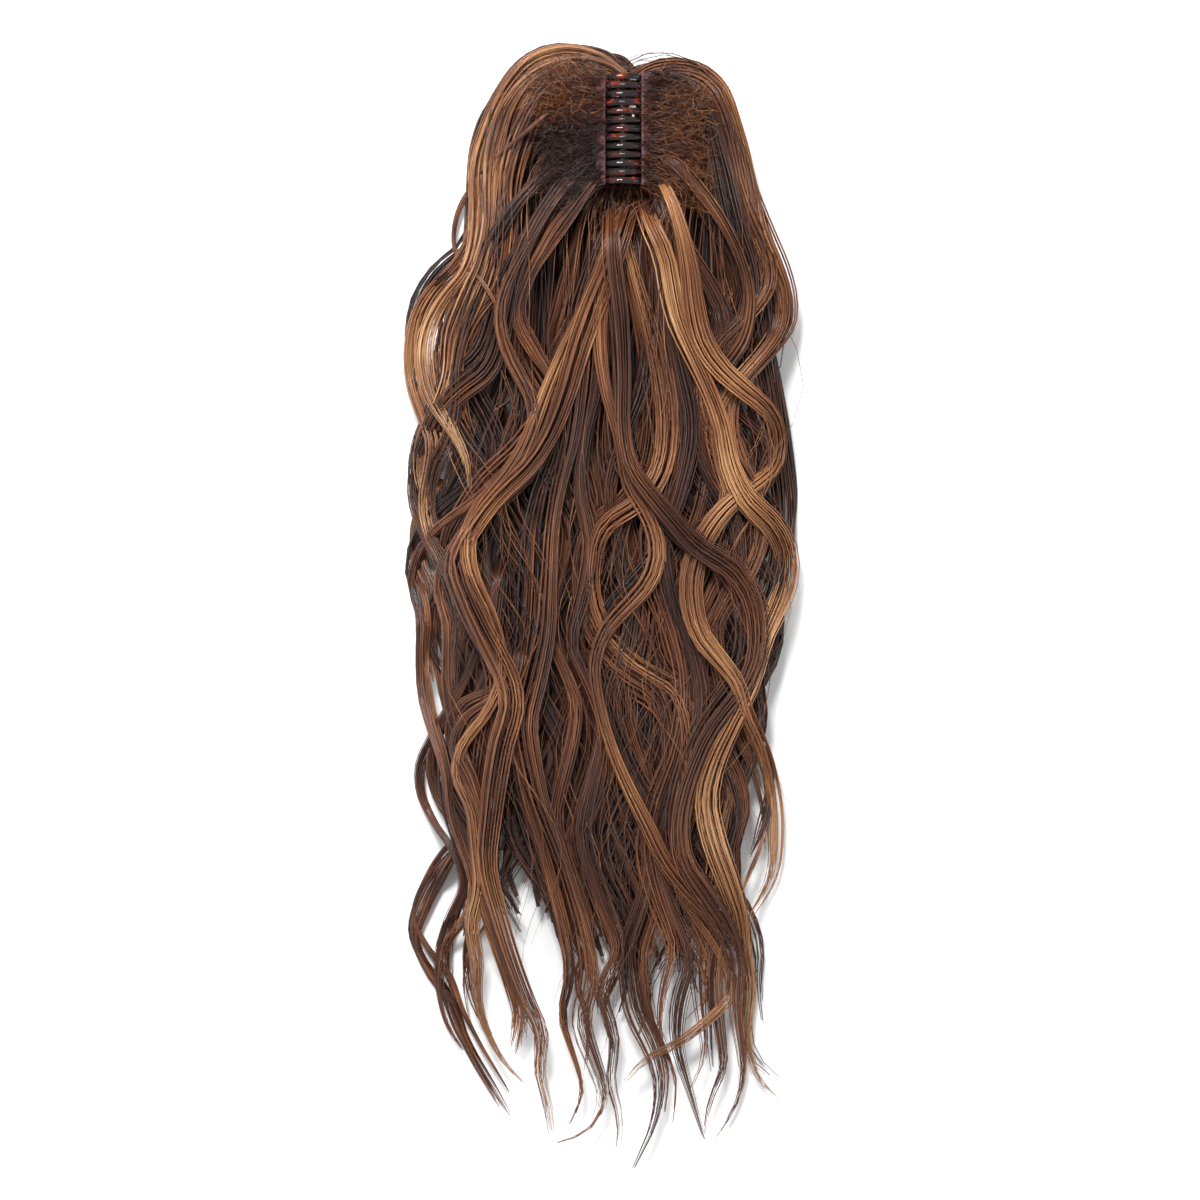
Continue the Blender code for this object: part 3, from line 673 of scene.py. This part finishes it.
# Show locks: the glossy S-shaped locks that lie on top, each a tight ribbon of parallel hair. A lock is given
# by its width, its tone, its layer, how far it lifts where it heads right, and the places that it turns
# through on its way from the claw to its tip. All lengths are in millimetres, across and down from the middle
# of the crown.
ShowLock = namedtuple("ShowLock", "name width tone layer lift turns")
SHOW_LOCKS = (
    ShowLock(
        "crown_left_edge", 6, 0.04, 0.7, 1,
        ((15, 20), (6, 6), (-8, 1), (-25, 2), (-43, 13), (-54, 27), (-63, 39), (-68, 52), (-70, 85),
         (-71, 112), (-76, 139)),
    ),
    ShowLock(
        "left_outer", 9, 0.32, 0.96, 2,
        ((15, 21), (5, 10), (-11, 4), (-30, 7), (-47, 22), (-58, 43), (-66, 63), (-65, 84), (-67, 102),
         (-75, 118), (-89, 130), (-99, 146), (-102, 164), (-100, 185), (-93, 203), (-89, 217), (-92, 234),
         (-95, 250), (-91, 269), (-83, 286), (-77, 304), (-74, 323)),
    ),
    ShowLock(
        "left_arc", 10, 0.36, 1.02, 2,
        ((15, 22), (3, 12), (-15, 8), (-35, 15), (-50, 31), (-60, 51), (-64, 70), (-63, 90), (-65, 109),
         (-71, 126), (-82, 139), (-91, 155), (-93, 173), (-89, 192), (-80, 209), (-72, 226), (-70, 242)),
    ),
    ShowLock(
        "left_arc_low", 9, 0.28, 1, 2,
        ((14, 23), (0, 16), (-18, 15), (-36, 23), (-48, 38), (-54, 58), (-57, 80), (-58, 101), (-62, 123),
         (-70, 142), (-78, 161), (-81, 181), (-87, 199), (-95, 215), (-98, 234), (-93, 253)),
    ),
    ShowLock(
        "left_wisp", 2, 0.12, 1.02, 1,
        ((-22, 37), (-41, 54), (-60, 68), (-73, 81), (-79, 96), (-79, 111), (-74, 121), (-66, 128),
         (-58, 139), (-51, 155)),
    ),
    ShowLock(
        "valley_left", 8, -0.02, 0.62, 0,
        ((27, 22), (19, 16), (12, 10), (2, 7), (-9, 6), (-22, 9)),
    ),
    ShowLock(
        "valley_right", 8, 0.12, 0.62, 0,
        ((6, 22), (13, 17), (22, 15), (32, 12), (45, 12), (57, 19)),
    ),
    ShowLock(
        "right_outer", 9, 0.22, 0.96, 2,
        ((17, 20), (26, 14), (41, 10), (57, 15), (69, 28), (76, 45), (81, 62), (84, 80), (89, 95),
         (95, 109), (102, 123), (107, 138), (107, 151), (100, 162), (89, 175), (78, 188), (74, 204),
         (77, 223), (85, 242), (91, 261), (88, 280), (78, 296), (66, 313)),
    ),
    ShowLock(
        "right_arc", 9, 0.24, 1.02, 2,
        ((18, 22), (30, 16), (48, 16), (62, 27), (70, 43), (76, 63), (80, 85), (83, 104), (91, 123),
         (97, 139), (96, 154), (88, 167), (76, 181), (66, 193), (61, 209), (63, 228), (68, 247)),
    ),
    ShowLock(
        "right_arc_low", 9, 0.12, 1, 2,
        ((19, 24), (34, 21), (51, 25), (62, 40), (69, 61), (74, 82), (80, 102), (87, 118), (89, 131),
         (84, 142), (75, 153), (64, 164), (57, 178), (56, 194), (61, 212), (67, 231), (65, 253), (54, 272)),
    ),
    ShowLock(
        "right_edge", 9, -0.04, 0.8, 2,
        ((22, 27), (43, 24), (61, 37), (69, 63), (77, 93), (84, 122), (90, 147), (93, 166), (97, 185),
         (101, 207), (104, 226), (107, 246), (106, 268), (102, 289), (95, 309), (90, 326), (89, 345),
         (92, 364), (89, 382), (80, 404), (75, 426), (78, 447), (77, 466)),
    ),
    ShowLock(
        "mauve_left", 9, -0.02, 1.04, 3,
        ((2, 58), (-19, 80), (-35, 104), (-46, 131), (-52, 155), (-61, 179), (-75, 190), (-86, 201),
         (-94, 216), (-100, 231), (-101, 247), (-95, 263), (-85, 281), (-77, 299), (-75, 316), (-78, 334),
         (-77, 350)),
    ),
    ShowLock(
        "left_fan", 8, -0.05, 0.98, 2,
        ((0, 55), (-23, 70), (-43, 90), (-57, 113), (-66, 136), (-73, 158), (-77, 177), (-77, 196),
         (-81, 215), (-89, 231), (-91, 247), (-87, 266)),
    ),
    ShowLock(
        "left_fan_inner", 6, 0.1, 1.06, 3,
        ((0, 64), (-21, 85), (-35, 107), (-46, 126), (-53, 143), (-52, 161), (-45, 178), (-37, 192),
         (-35, 207), (-42, 223), (-54, 236), (-70, 250), (-87, 262), (-100, 278), (-103, 293), (-97, 309),
         (-97, 331), (-96, 353), (-89, 376), (-83, 397), (-82, 414), (-75, 436), (-69, 454), (-72, 472),
         (-84, 488), (-88, 510), (-84, 531), (-75, 547)),
    ),
    ShowLock(
        "left_fan_middle", 7, 0.12, 1.02, 2,
        ((2, 71), (-12, 91), (-27, 112), (-38, 131), (-43, 149), (-35, 167), (-26, 182), (-24, 199),
         (-32, 215), (-44, 229), (-50, 242), (-54, 258)),
    ),
    ShowLock(
        "left_great", 11, 0.20, 1.12, 4,
        ((18, 88), (10, 115), (0, 139), (-10, 166), (-18, 193), (-27, 215), (-38, 231), (-51, 243),
         (-66, 262), (-76, 281), (-71, 297), (-63, 315), (-54, 332), (-48, 345), (-46, 359), (-51, 376),
         (-55, 397), (-58, 420), (-60, 443), (-54, 469), (-47, 493), (-38, 518), (-30, 537), (-32, 556),
         (-27, 577), (-25, 595)),
    ),
    ShowLock(
        "left_middle", 7, 0.28, 1.08, 3,
        ((15, 89), (3, 115), (-6, 138), (-18, 163), (-28, 186), (-35, 204), (-42, 221), (-51, 235),
         (-64, 250), (-72, 269), (-70, 288), (-61, 307), (-54, 328), (-55, 350), (-64, 366), (-75, 380),
         (-78, 396), (-70, 412), (-67, 437), (-65, 456), (-70, 477), (-67, 496), (-67, 518), (-61, 537),
         (-51, 554), (-41, 564)),
    ),
    ShowLock(
        "middle_loop", 9, 0.26, 1.04, -4,
        ((10, 88), (15, 117), (24, 150), (32, 182), (35, 209), (32, 231), (24, 245), (1, 262), (-5, 288),
         (1, 315), (18, 336), (42, 352), (47, 367), (47, 394), (41, 427), (42, 453), (51, 472), (64, 491),
         (71, 516), (58, 529), (41, 542), (25, 550), (13, 563)),
    ),
    ShowLock(
        "copper", 11, 0.36, 1.1, 3,
        ((22, 87), (27, 104), (34, 119), (37, 136), (41, 153), (49, 171), (58, 190), (65, 209), (69, 230),
         (78, 249), (92, 262), (100, 276), (100, 292), (94, 308), (87, 324), (84, 339), (78, 355),
         (69, 373), (61, 391), (57, 410), (61, 431), (69, 453), (76, 474), (78, 491), (82, 512), (80, 537),
         (86, 563), (99, 575)),
    ),
    ShowLock(
        "mauve_right", 10, 0.06, 1.16, 4,
        ((6, 90), (6, 117), (10, 150), (12, 182), (12, 209), (16, 231), (27, 246), (39, 260), (52, 274),
         (71, 286), (81, 301), (84, 318), (83, 333), (77, 348), (66, 362), (57, 376), (51, 390), (46, 405),
         (43, 420), (45, 442), (57, 461), (69, 480), (75, 499), (74, 518), (76, 539), (78, 558), (74, 577),
         (63, 595)),
    ),
    ShowLock(
        "right_hook", 9, 0.30, 1.12, 4,
        ((30, 71), (41, 98), (48, 126), (51, 147), (56, 165), (66, 179), (80, 191), (93, 202), (98, 215),
         (96, 228), (85, 239), (71, 249), (60, 262), (53, 275), (49, 291), (50, 307), (55, 322), (65, 334),
         (74, 346), (79, 362), (88, 381), (94, 404), (96, 428), (94, 452), (77, 480)),
    ),
    ShowLock(
        "middle_crook", 7, 0.2, 1.06, 3,
        ((12, 88), (6, 112), (1, 139), (0, 166), (4, 193), (11, 217), (15, 239), (27, 259), (31, 275),
         (27, 291), (15, 305), (3, 318), (-3, 337), (-1, 355), (6, 380), (15, 402), (26, 424), (35, 443),
         (49, 461), (66, 479), (79, 496), (83, 518), (79, 539), (85, 558)),
    ),
    ShowLock(
        "middle_left", 9, 0.08, 1, 2,
        ((10, 89), (0, 117), (-8, 150), (-11, 182), (-15, 215), (-22, 242), (-25, 260), (-27, 291),
         (-29, 321), (-34, 345), (-39, 367), (-36, 390), (-31, 412), (-22, 436), (-15, 458), (-8, 483),
         (-5, 507), (-10, 530), (-3, 552), (2, 571), (-6, 589), (-24, 597)),
    ),
    ShowLock(
        "middle", 8, 0.02, 0.98, 2,
        ((14, 90), (10, 123), (6, 155), (-1, 188), (-8, 215), (-10, 242), (-4, 269), (-8, 300), (-14, 326),
         (-6, 345), (1, 364), (-1, 385), (-6, 405), (-10, 427), (-5, 447), (3, 469), (10, 491), (1, 512),
         (8, 539), (6, 564), (11, 583), (10, 599)),
    ),
    ShowLock(
        "middle_right", 8, -0.03, 0.96, -3,
        ((17, 91), (22, 123), (26, 155), (22, 188), (12, 215), (5, 242), (10, 272), (16, 301), (12, 331),
         (5, 355), (14, 388), (22, 415), (26, 442), (22, 466), (14, 491), (15, 507), (18, 525), (27, 544),
         (32, 560), (30, 583), (18, 611)),
    ),
    ShowLock(
        "right_inner", 8, -0.05, 0.98, 3,
        ((24, 80), (30, 112), (35, 144), (43, 177), (49, 209), (43, 242), (35, 269), (39, 301), (49, 328),
         (54, 355), (48, 388), (37, 415), (32, 442), (39, 469), (49, 496), (43, 520), (42, 542), (48, 565),
         (57, 595)),
    ),
    ShowLock(
        "right_fan_inner", 8, 0.06, 1, -3,
        ((27, 69), (37, 93), (49, 115), (61, 134), (69, 153), (66, 174), (57, 193), (54, 215), (62, 236),
         (73, 255), (77, 277), (69, 301), (58, 323), (55, 350), (64, 374), (76, 396), (80, 416), (74, 434),
         (75, 453), (68, 480), (64, 507), (66, 534), (68, 556), (60, 575), (57, 592)),
    ),
    ShowLock(
        "right_fan", 7, 0.12, 1.04, 2,
        ((28, 58), (49, 77), (64, 97), (75, 118), (81, 142), (77, 163), (66, 180), (62, 199), (70, 220),
         (82, 239), (88, 258), (84, 280), (73, 299), (64, 313), (66, 331), (74, 350)),
    ),
    ShowLock(
        "left_low_loop", 4, 0, 0.9, 2,
        ((-54, 280), (-58, 301), (-65, 323), (-70, 338), (-81, 359), (-91, 377), (-98, 391), (-98, 406),
         (-90, 423), (-81, 435), (-74, 453), (-83, 478), (-88, 495), (-88, 516), (-83, 535), (-75, 547)),
    ),
    ShowLock(
        "left_tip_wisp", 2, 0.06, 0.8, 1,
        ((-68, 410), (-75, 426), (-87, 439), (-96, 453), (-103, 475), (-96, 490), (-83, 507), (-76, 525),
         (-66, 544), (-58, 557), (-50, 570)),
    ),
    ShowLock(
        "left_side_wisp", 3, 0.18, 0.9, 2,
        ((-92, 236), (-100, 251), (-109, 271), (-108, 288), (-102, 300), (-100, 312), (-102, 331),
         (-98, 355), (-93, 377)),
    ),
    ShowLock(
        "left_low", 6, 0.1, 1, 3,
        ((-43, 323), (-48, 345), (-58, 355), (-72, 365), (-78, 380), (-70, 399), (-64, 420), (-66, 443),
         (-62, 464), (-57, 481), (-48, 503), (-42, 525), (-46, 548)),
    ),
    ShowLock(
        "right_tip_wisp", 2, 0.24, 0.9, 1,
        ((72, 360), (84, 382), (89, 396), (92, 412), (88, 433), (80, 452), (75, 466)),
    ),
)


def smooth_route(knots, count):
    """A curve through the knots, at an even spacing."""
    knots = np.array(knots, dtype=float)
    along = np.concatenate([[0], np.cumsum(np.hypot(*np.diff(knots, axis=0).T))])
    slopes = np.stack([np.gradient(column, along) for column in knots.T], axis=1)
    places = np.linspace(0, along[-1], count)
    at = np.clip(np.searchsorted(along, places, side="right") - 1, 0, len(knots) - 2)
    span = (along[at + 1] - along[at])[:, None]
    share = (places - along[at])[:, None] / span
    return (
        knots[at] * (1 + 2 * share) * (1 - share) ** 2
        + slopes[at] * span * share * (1 - share) ** 2
        + knots[at + 1] * share**2 * (3 - 2 * share)
        + slopes[at + 1] * span * share**2 * (share - 1)
    )


WIDEST = 0.102
LEAST_DEPTH = 0.004


def show_route(lock):
    """The lock's middle in the frame. It lifts where it heads right, so that crossing locks pass over."""
    x, down = (smooth_route(lock.turns, GUIDE_STEPS) / 1000).T
    x = x * min(1, WIDEST / np.abs(x).max())
    heading = np.gradient(x) / np.hypot(np.gradient(x), np.gradient(down))
    share = np.linspace(0, 1, GUIDE_STEPS)
    depth = np.maximum(depth_at(x, down), LEAST_DEPTH)
    height = LAID_LOW + depth * lock.layer * smooth(0.5 + share * 12)
    height = height + lock.lift / 1000 * (0.4 + heading) * (1 - 0.6 * share)
    return np.stack([x, HAIR_LENGTH / 2 - down, np.maximum(height, LAID_LOW)], axis=1)


def beside(draws, lock):
    """A lock beside a show lock: a little to one side, up or down its waves, deeper and mostly darker, the
    darker tone partly painted shade under the locks above.
    """
    turns = np.array(lock.turns, dtype=float)
    share = np.linspace(0, 1, len(turns))[:, None]
    shift = np.array([draws.uniform(-15, 15), draws.uniform(-14, 14)])
    turns = turns + shift * smooth(share / 0.3)
    turns = turns * [draws.uniform(0.90, 1.02), 1]
    turns = turns[: max(5, round(len(turns) * draws.uniform(0.84, 1.0)))]
    return lock._replace(
        turns=turns,
        layer=lock.layer * draws.uniform(0.55, 0.94),
        lift=draws.uniform(-4, 4),
        tone=lock.tone * 0.4 + draws.uniform(-0.27, 0.12),
        width=max(6, lock.width) * draws.uniform(0.9, 1.5),
    )


draws = np.random.default_rng(41)
for name in ("deeper_locks", "middle_locks"):
    routes = []
    for lock in SHOW_LOCKS:
        neighbour = beside(draws, lock)
        form = lock_form(draws, show_route(neighbour), neighbour.width / 1000, neighbour.tone, 2.0, 0.07)
        routes.append(form)
    show = apply_group(
        name,
        add_guides(name + "_routes", routes),
        strands,
        fibre,
        Strands=13,
        Steps=44,
        Strand_Radius=0.00085,
        Shortest=0.86,
        Tone_Spread=0.08,
        Seed=6,
    )
    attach(show, "hair")

SHOW_FULLNESS = 1.3
for name, locks in (("upper_drawn_locks", SHOW_LOCKS[::2]), ("lower_drawn_locks", SHOW_LOCKS[1::2])):
    routes = []
    for lock in locks:
        width = SHOW_FULLNESS * lock.width / 1000
        routes.append(lock_form(draws, show_route(lock), width, lock.tone, 2.5, 0.08))
    drawn = apply_group(
        name,
        add_guides(name + "_routes", routes),
        strands,
        fibre,
        Strands=24,
        Steps=54,
        Strand_Radius=0.00055,
        Shortest=0.90,
        Tone_Spread=0.09,
        Seed=7,
    )
    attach(drawn, "hair")

# Loose strands: single fine hairs that leave their locks
LOOSE_ROUTES = 30
LOOSE_WIDTH = 0.030
draws = np.random.default_rng(31)
routes = []
for index in range(LOOSE_ROUTES):
    lane = draws.uniform(-0.96, 0.96)
    reach = reach_at(lane) - 0.03 - 0.12 * draws.uniform(0, 1) ** 1.5
    tone = draws.uniform(0.0, 0.24)
    layer = draws.uniform(0.9, 1.06)
    routes.append(fill_lock(draws, lane, layer, reach, LOOSE_WIDTH, tone, stray=0.40, twist=10))
loose = apply_group(
    "loose_strands",
    add_guides("loose_routes", routes),
    strands,
    fibre,
    Strands=4,
    Steps=40,
    Strand_Radius=0.00030,
    Shortest=0.70,
    Tone_Spread=0.14,
    Stray=0.018,
    Seed=8,
)
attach(loose, "hair")


# Teased hair: the short frizz that is backcombed over each jaw, and spreads over the lobe beside it
HINGE_Z = 0.0225
PAD_RADIUS = 0.0272
PAD_ARC = math.radians(40)
CLAW_FROM = 0.0200
CLAW_TO = 0.0825
CROWN_INSET = 0.006
PAINTED_HOLLOW_SHADOW_FROM = 0.040
TEASED_STRANDS = 400
TEASED_POINTS = 10


def teased_route(draws, side):
    """One short strand, from the jaw's tape over the pad and out on the lobe."""
    place = draws.uniform(0, 1)
    down = CLAW_FROM + (CLAW_TO - CLAW_FROM) * place
    reach = draws.uniform(0.010, 0.037) * (1 - 0.35 * place) * smooth(0.4 + place * 4)
    turn = math.radians(draws.uniform(18, 62))
    share = np.linspace(0, 1, TEASED_POINTS)
    arc = turn + share * PAD_ARC
    x = side * (PAD_RADIUS * np.sin(arc) + reach * share**1.3)
    drift = (place - 0.42) * 0.026 * share**1.2 + draws.uniform(-0.006, 0.006) * share
    down = np.maximum(down + drift, crown_line(CLAW_X + x) + CROWN_INSET)
    arc_height = HINGE_Z + PAD_RADIUS * np.cos(arc)
    lobe_height = depth_at(CLAW_X + x, down) + 0.0008
    height = np.maximum(arc_height - 0.018 * share, lobe_height) + draws.uniform(0, 0.0022)
    points = np.stack([CLAW_X + x, HAIR_LENGTH / 2 - down, height], axis=1)
    # The hair is reddish at the tape and golden outside, and on the left a painted shadow darkens it in the
    # hollow at the lower left
    shade = draws.uniform(-0.14, 0.20) + 0.10 * share - 0.12 * (1 - share) ** 3
    if side < 0:
        shade = shade - 0.30 * smooth((down - PAINTED_HOLLOW_SHADOW_FROM) / 0.012)
    return {"points": points, "half_width": 0.0006, "half_height": 0.0005, "tone": shade, "twist": 60.0}


draws = np.random.default_rng(53)
for side, word in ((-1, "left"), (1, "right")):
    routes = [teased_route(draws, side) for _ in range(TEASED_STRANDS)]
    teased = apply_group(
        word + "_teased_hair",
        add_guides(word + "_teased_routes", routes),
        strands,
        teased_fibre,
        Strands=2,
        Steps=14,
        Strand_Radius=0.00024,
        Shortest=0.4,
        Tone_Spread=0.14,
        Stray=0.034,
        Wander=150.0,
        Seed=9,
    )
    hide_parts("teased_roots_" + word)
    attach(teased, word + "_jaw")

# A tuft of the same frizz closes the hair in under the claw's lower end
TUFT_STRANDS = 150
TUFT_POINTS = 8
TUFT_HALF = 0.0008
draws = np.random.default_rng(59)
routes = []
for index in range(TUFT_STRANDS):
    share = np.linspace(0, 1, TUFT_POINTS)
    x = CLAW_X + draws.uniform(-0.015, 0.015) + draws.uniform(-0.008, 0.008) * share
    down = draws.uniform(0.076, 0.088) + draws.uniform(0.010, 0.030) * share
    height = draws.uniform(0.020, 0.034) + 0.004 * np.sin(share * np.pi) - 0.004 * share
    points = np.stack([x, HAIR_LENGTH / 2 - down, height], axis=1)
    tone = draws.uniform(-0.10, 0.12)
    sizes = {"half_width": TUFT_HALF, "half_height": TUFT_HALF, "twist": 50.0}
    routes.append({"points": points, "tone": tone} | sizes)
tuft = apply_group(
    "lower_tuft",
    add_guides("tuft_routes", routes),
    strands,
    teased_fibre,
    Strands=2,
    Steps=10,
    Strand_Radius=0.00028,
    Shortest=0.5,
    Tone_Spread=0.08,
    Stray=0.016,
    Wander=150.0,
    Seed=10,
)
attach(tuft, "hair")


# The claw: two jaws of polished tortoiseshell acetate, whose teeth are rounded where they interlock
CLAW_MIDDLE_Y = 0.25425
TOOTH_SPACING = 0.004625
TOOTH_ROUND = 0.0009
ACETATE_SHADES = (
    (0.30, "0b0504"),
    (0.52, "1d0a07"),
    (0.60, "45130a"),
    (0.68, "a5300d"),
    (0.80, "dd5a1c"),
)


def tortoiseshell():
    """Near black acetate with orange-red clouds in it, polished."""
    material, tree, shader = new_material("tortoiseshell_acetate")
    place = add_node(tree, "ShaderNodeTexCoord").outputs["Object"]
    clouds = noise_node(tree, place, scale=130.0, detail=3.0, roughness=0.55, distortion=0.6).outputs["Fac"]
    tree.links.new(colour_ramp(tree, clouds, ACETATE_SHADES), shader.inputs["Base Color"])
    scuffs = noise_node(tree, place, scale=900.0, detail=2.0).outputs["Fac"]
    tree.links.new(map_range(tree, scuffs, (0.0, 1.0), (0.04, 0.16)), shader.inputs["Roughness"])

    # Each tooth is moulded with a rounded back, which catches one thin line of light
    down_the_claw = add_node(tree, "ShaderNodeSeparateXYZ", {0: place}).outputs["Y"]
    tooth_turn = math_node(tree, "SUBTRACT", down_the_claw, CLAW_MIDDLE_Y)
    tooth_turn = math_node(tree, "MULTIPLY", tooth_turn, 2 * math.pi / TOOTH_SPACING)
    add_bump(tree, shader, math_node(tree, "COSINE", tooth_turn), strength=1.0, distance=0.0005)
    shader.inputs["IOR"].default_value = 1.5
    shader.inputs["Coat Weight"].default_value = 0.6
    shader.inputs["Coat Roughness"].default_value = 0.03
    return material


acetate = tortoiseshell()
for side in ("left", "right"):
    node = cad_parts["jaw_" + side]
    mesh = node.data.copy()
    mesh.name = side + "_claw_jaw"
    jaw = bpy.data.objects.new(side + "_claw_jaw", mesh)
    bpy.context.scene.collection.objects.link(jaw)
    jaw.matrix_world = node.matrix_world
    mesh.materials.clear()
    mesh.materials.append(acetate)
    edges = jaw.modifiers.new("rounded_edges", "BEVEL")
    edges.width = TOOTH_ROUND
    edges.segments = 4
    edges.limit_method = "ANGLE"
    edges.angle_limit = math.radians(35)
    graph = bpy.context.evaluated_depsgraph_get()
    rounded = bpy.data.meshes.new_from_object(jaw.evaluated_get(graph))
    jaw.modifiers.clear()
    jaw.data = rounded
    rounded.name = side + "_claw_jaw"
    rounded.shade_smooth()
    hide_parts("jaw_" + side)
    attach(jaw, side + "_jaw")


# The weft tape: burgundy cotton, plain woven, that the hair is sewn to
TAPE_SHADES = (
    (0.35, "260c0d"),
    (0.50, "5c2225"),
    (0.75, "8a484a"),
)
THREAD_TURNS = 9000.0


def woven_tape():
    """Warp and weft threads that cross, under the fuzz of worn cotton."""
    material, tree, shader = new_material("burgundy_weft_tape")
    place = add_node(tree, "ShaderNodeTexCoord").outputs["Object"]
    parts = add_node(tree, "ShaderNodeSeparateXYZ", {0: place})
    warp = math_node(tree, "SINE", math_node(tree, "MULTIPLY", parts.outputs["Y"], THREAD_TURNS))
    weft = math_node(tree, "SINE", math_node(tree, "MULTIPLY", parts.outputs["Z"], THREAD_TURNS))
    weave = math_node(tree, "MULTIPLY", warp, weft)
    fuzz = noise_node(tree, place, scale=700.0, detail=5.0).outputs["Fac"]
    shade = math_node(tree, "MULTIPLY_ADD", weave, 0.10, fuzz)
    tree.links.new(colour_ramp(tree, shade, TAPE_SHADES), shader.inputs["Base Color"])
    height = math_node(tree, "MULTIPLY_ADD", weave, 0.3, fuzz)
    add_bump(tree, shader, height, strength=0.9, distance=0.0006)
    shader.inputs["Roughness"].default_value = 0.9
    shader.inputs["Sheen Weight"].default_value = 0.3
    return material


tape = woven_tape()
for side in ("left", "right"):
    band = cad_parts["weft_band_" + side].data
    band.materials.clear()
    band.materials.append(tape)


# The spring and its pin: drawn steel wire, with the coil's turns as fine rings
STEEL_WITH_GROOVE_SHADE = ((0.2, "3c3a38"), (0.7, "b9b6b0"))


def spring_wire():
    """Bright steel, with painted shade in the grooves between the turns."""
    material, tree, shader = new_material("drawn_spring_steel")
    place = add_node(tree, "ShaderNodeTexCoord").outputs["Object"]
    amounts = {"Vector": place, "Scale": 320.0, "Distortion": 0.2}
    turns = add_node(tree, "ShaderNodeTexWave", amounts, bands_direction="Y").outputs["Fac"]
    # The dark stop paints shade in the grooves between the turns
    tree.links.new(colour_ramp(tree, turns, STEEL_WITH_GROOVE_SHADE), shader.inputs["Base Color"])
    add_bump(tree, shader, turns, strength=1.0, distance=0.0004)
    shader.inputs["Metallic"].default_value = 1.0
    shader.inputs["Roughness"].default_value = 0.32
    return material


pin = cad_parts["hinge_pin"].data
pin.materials.clear()
pin.materials.append(spring_wire())
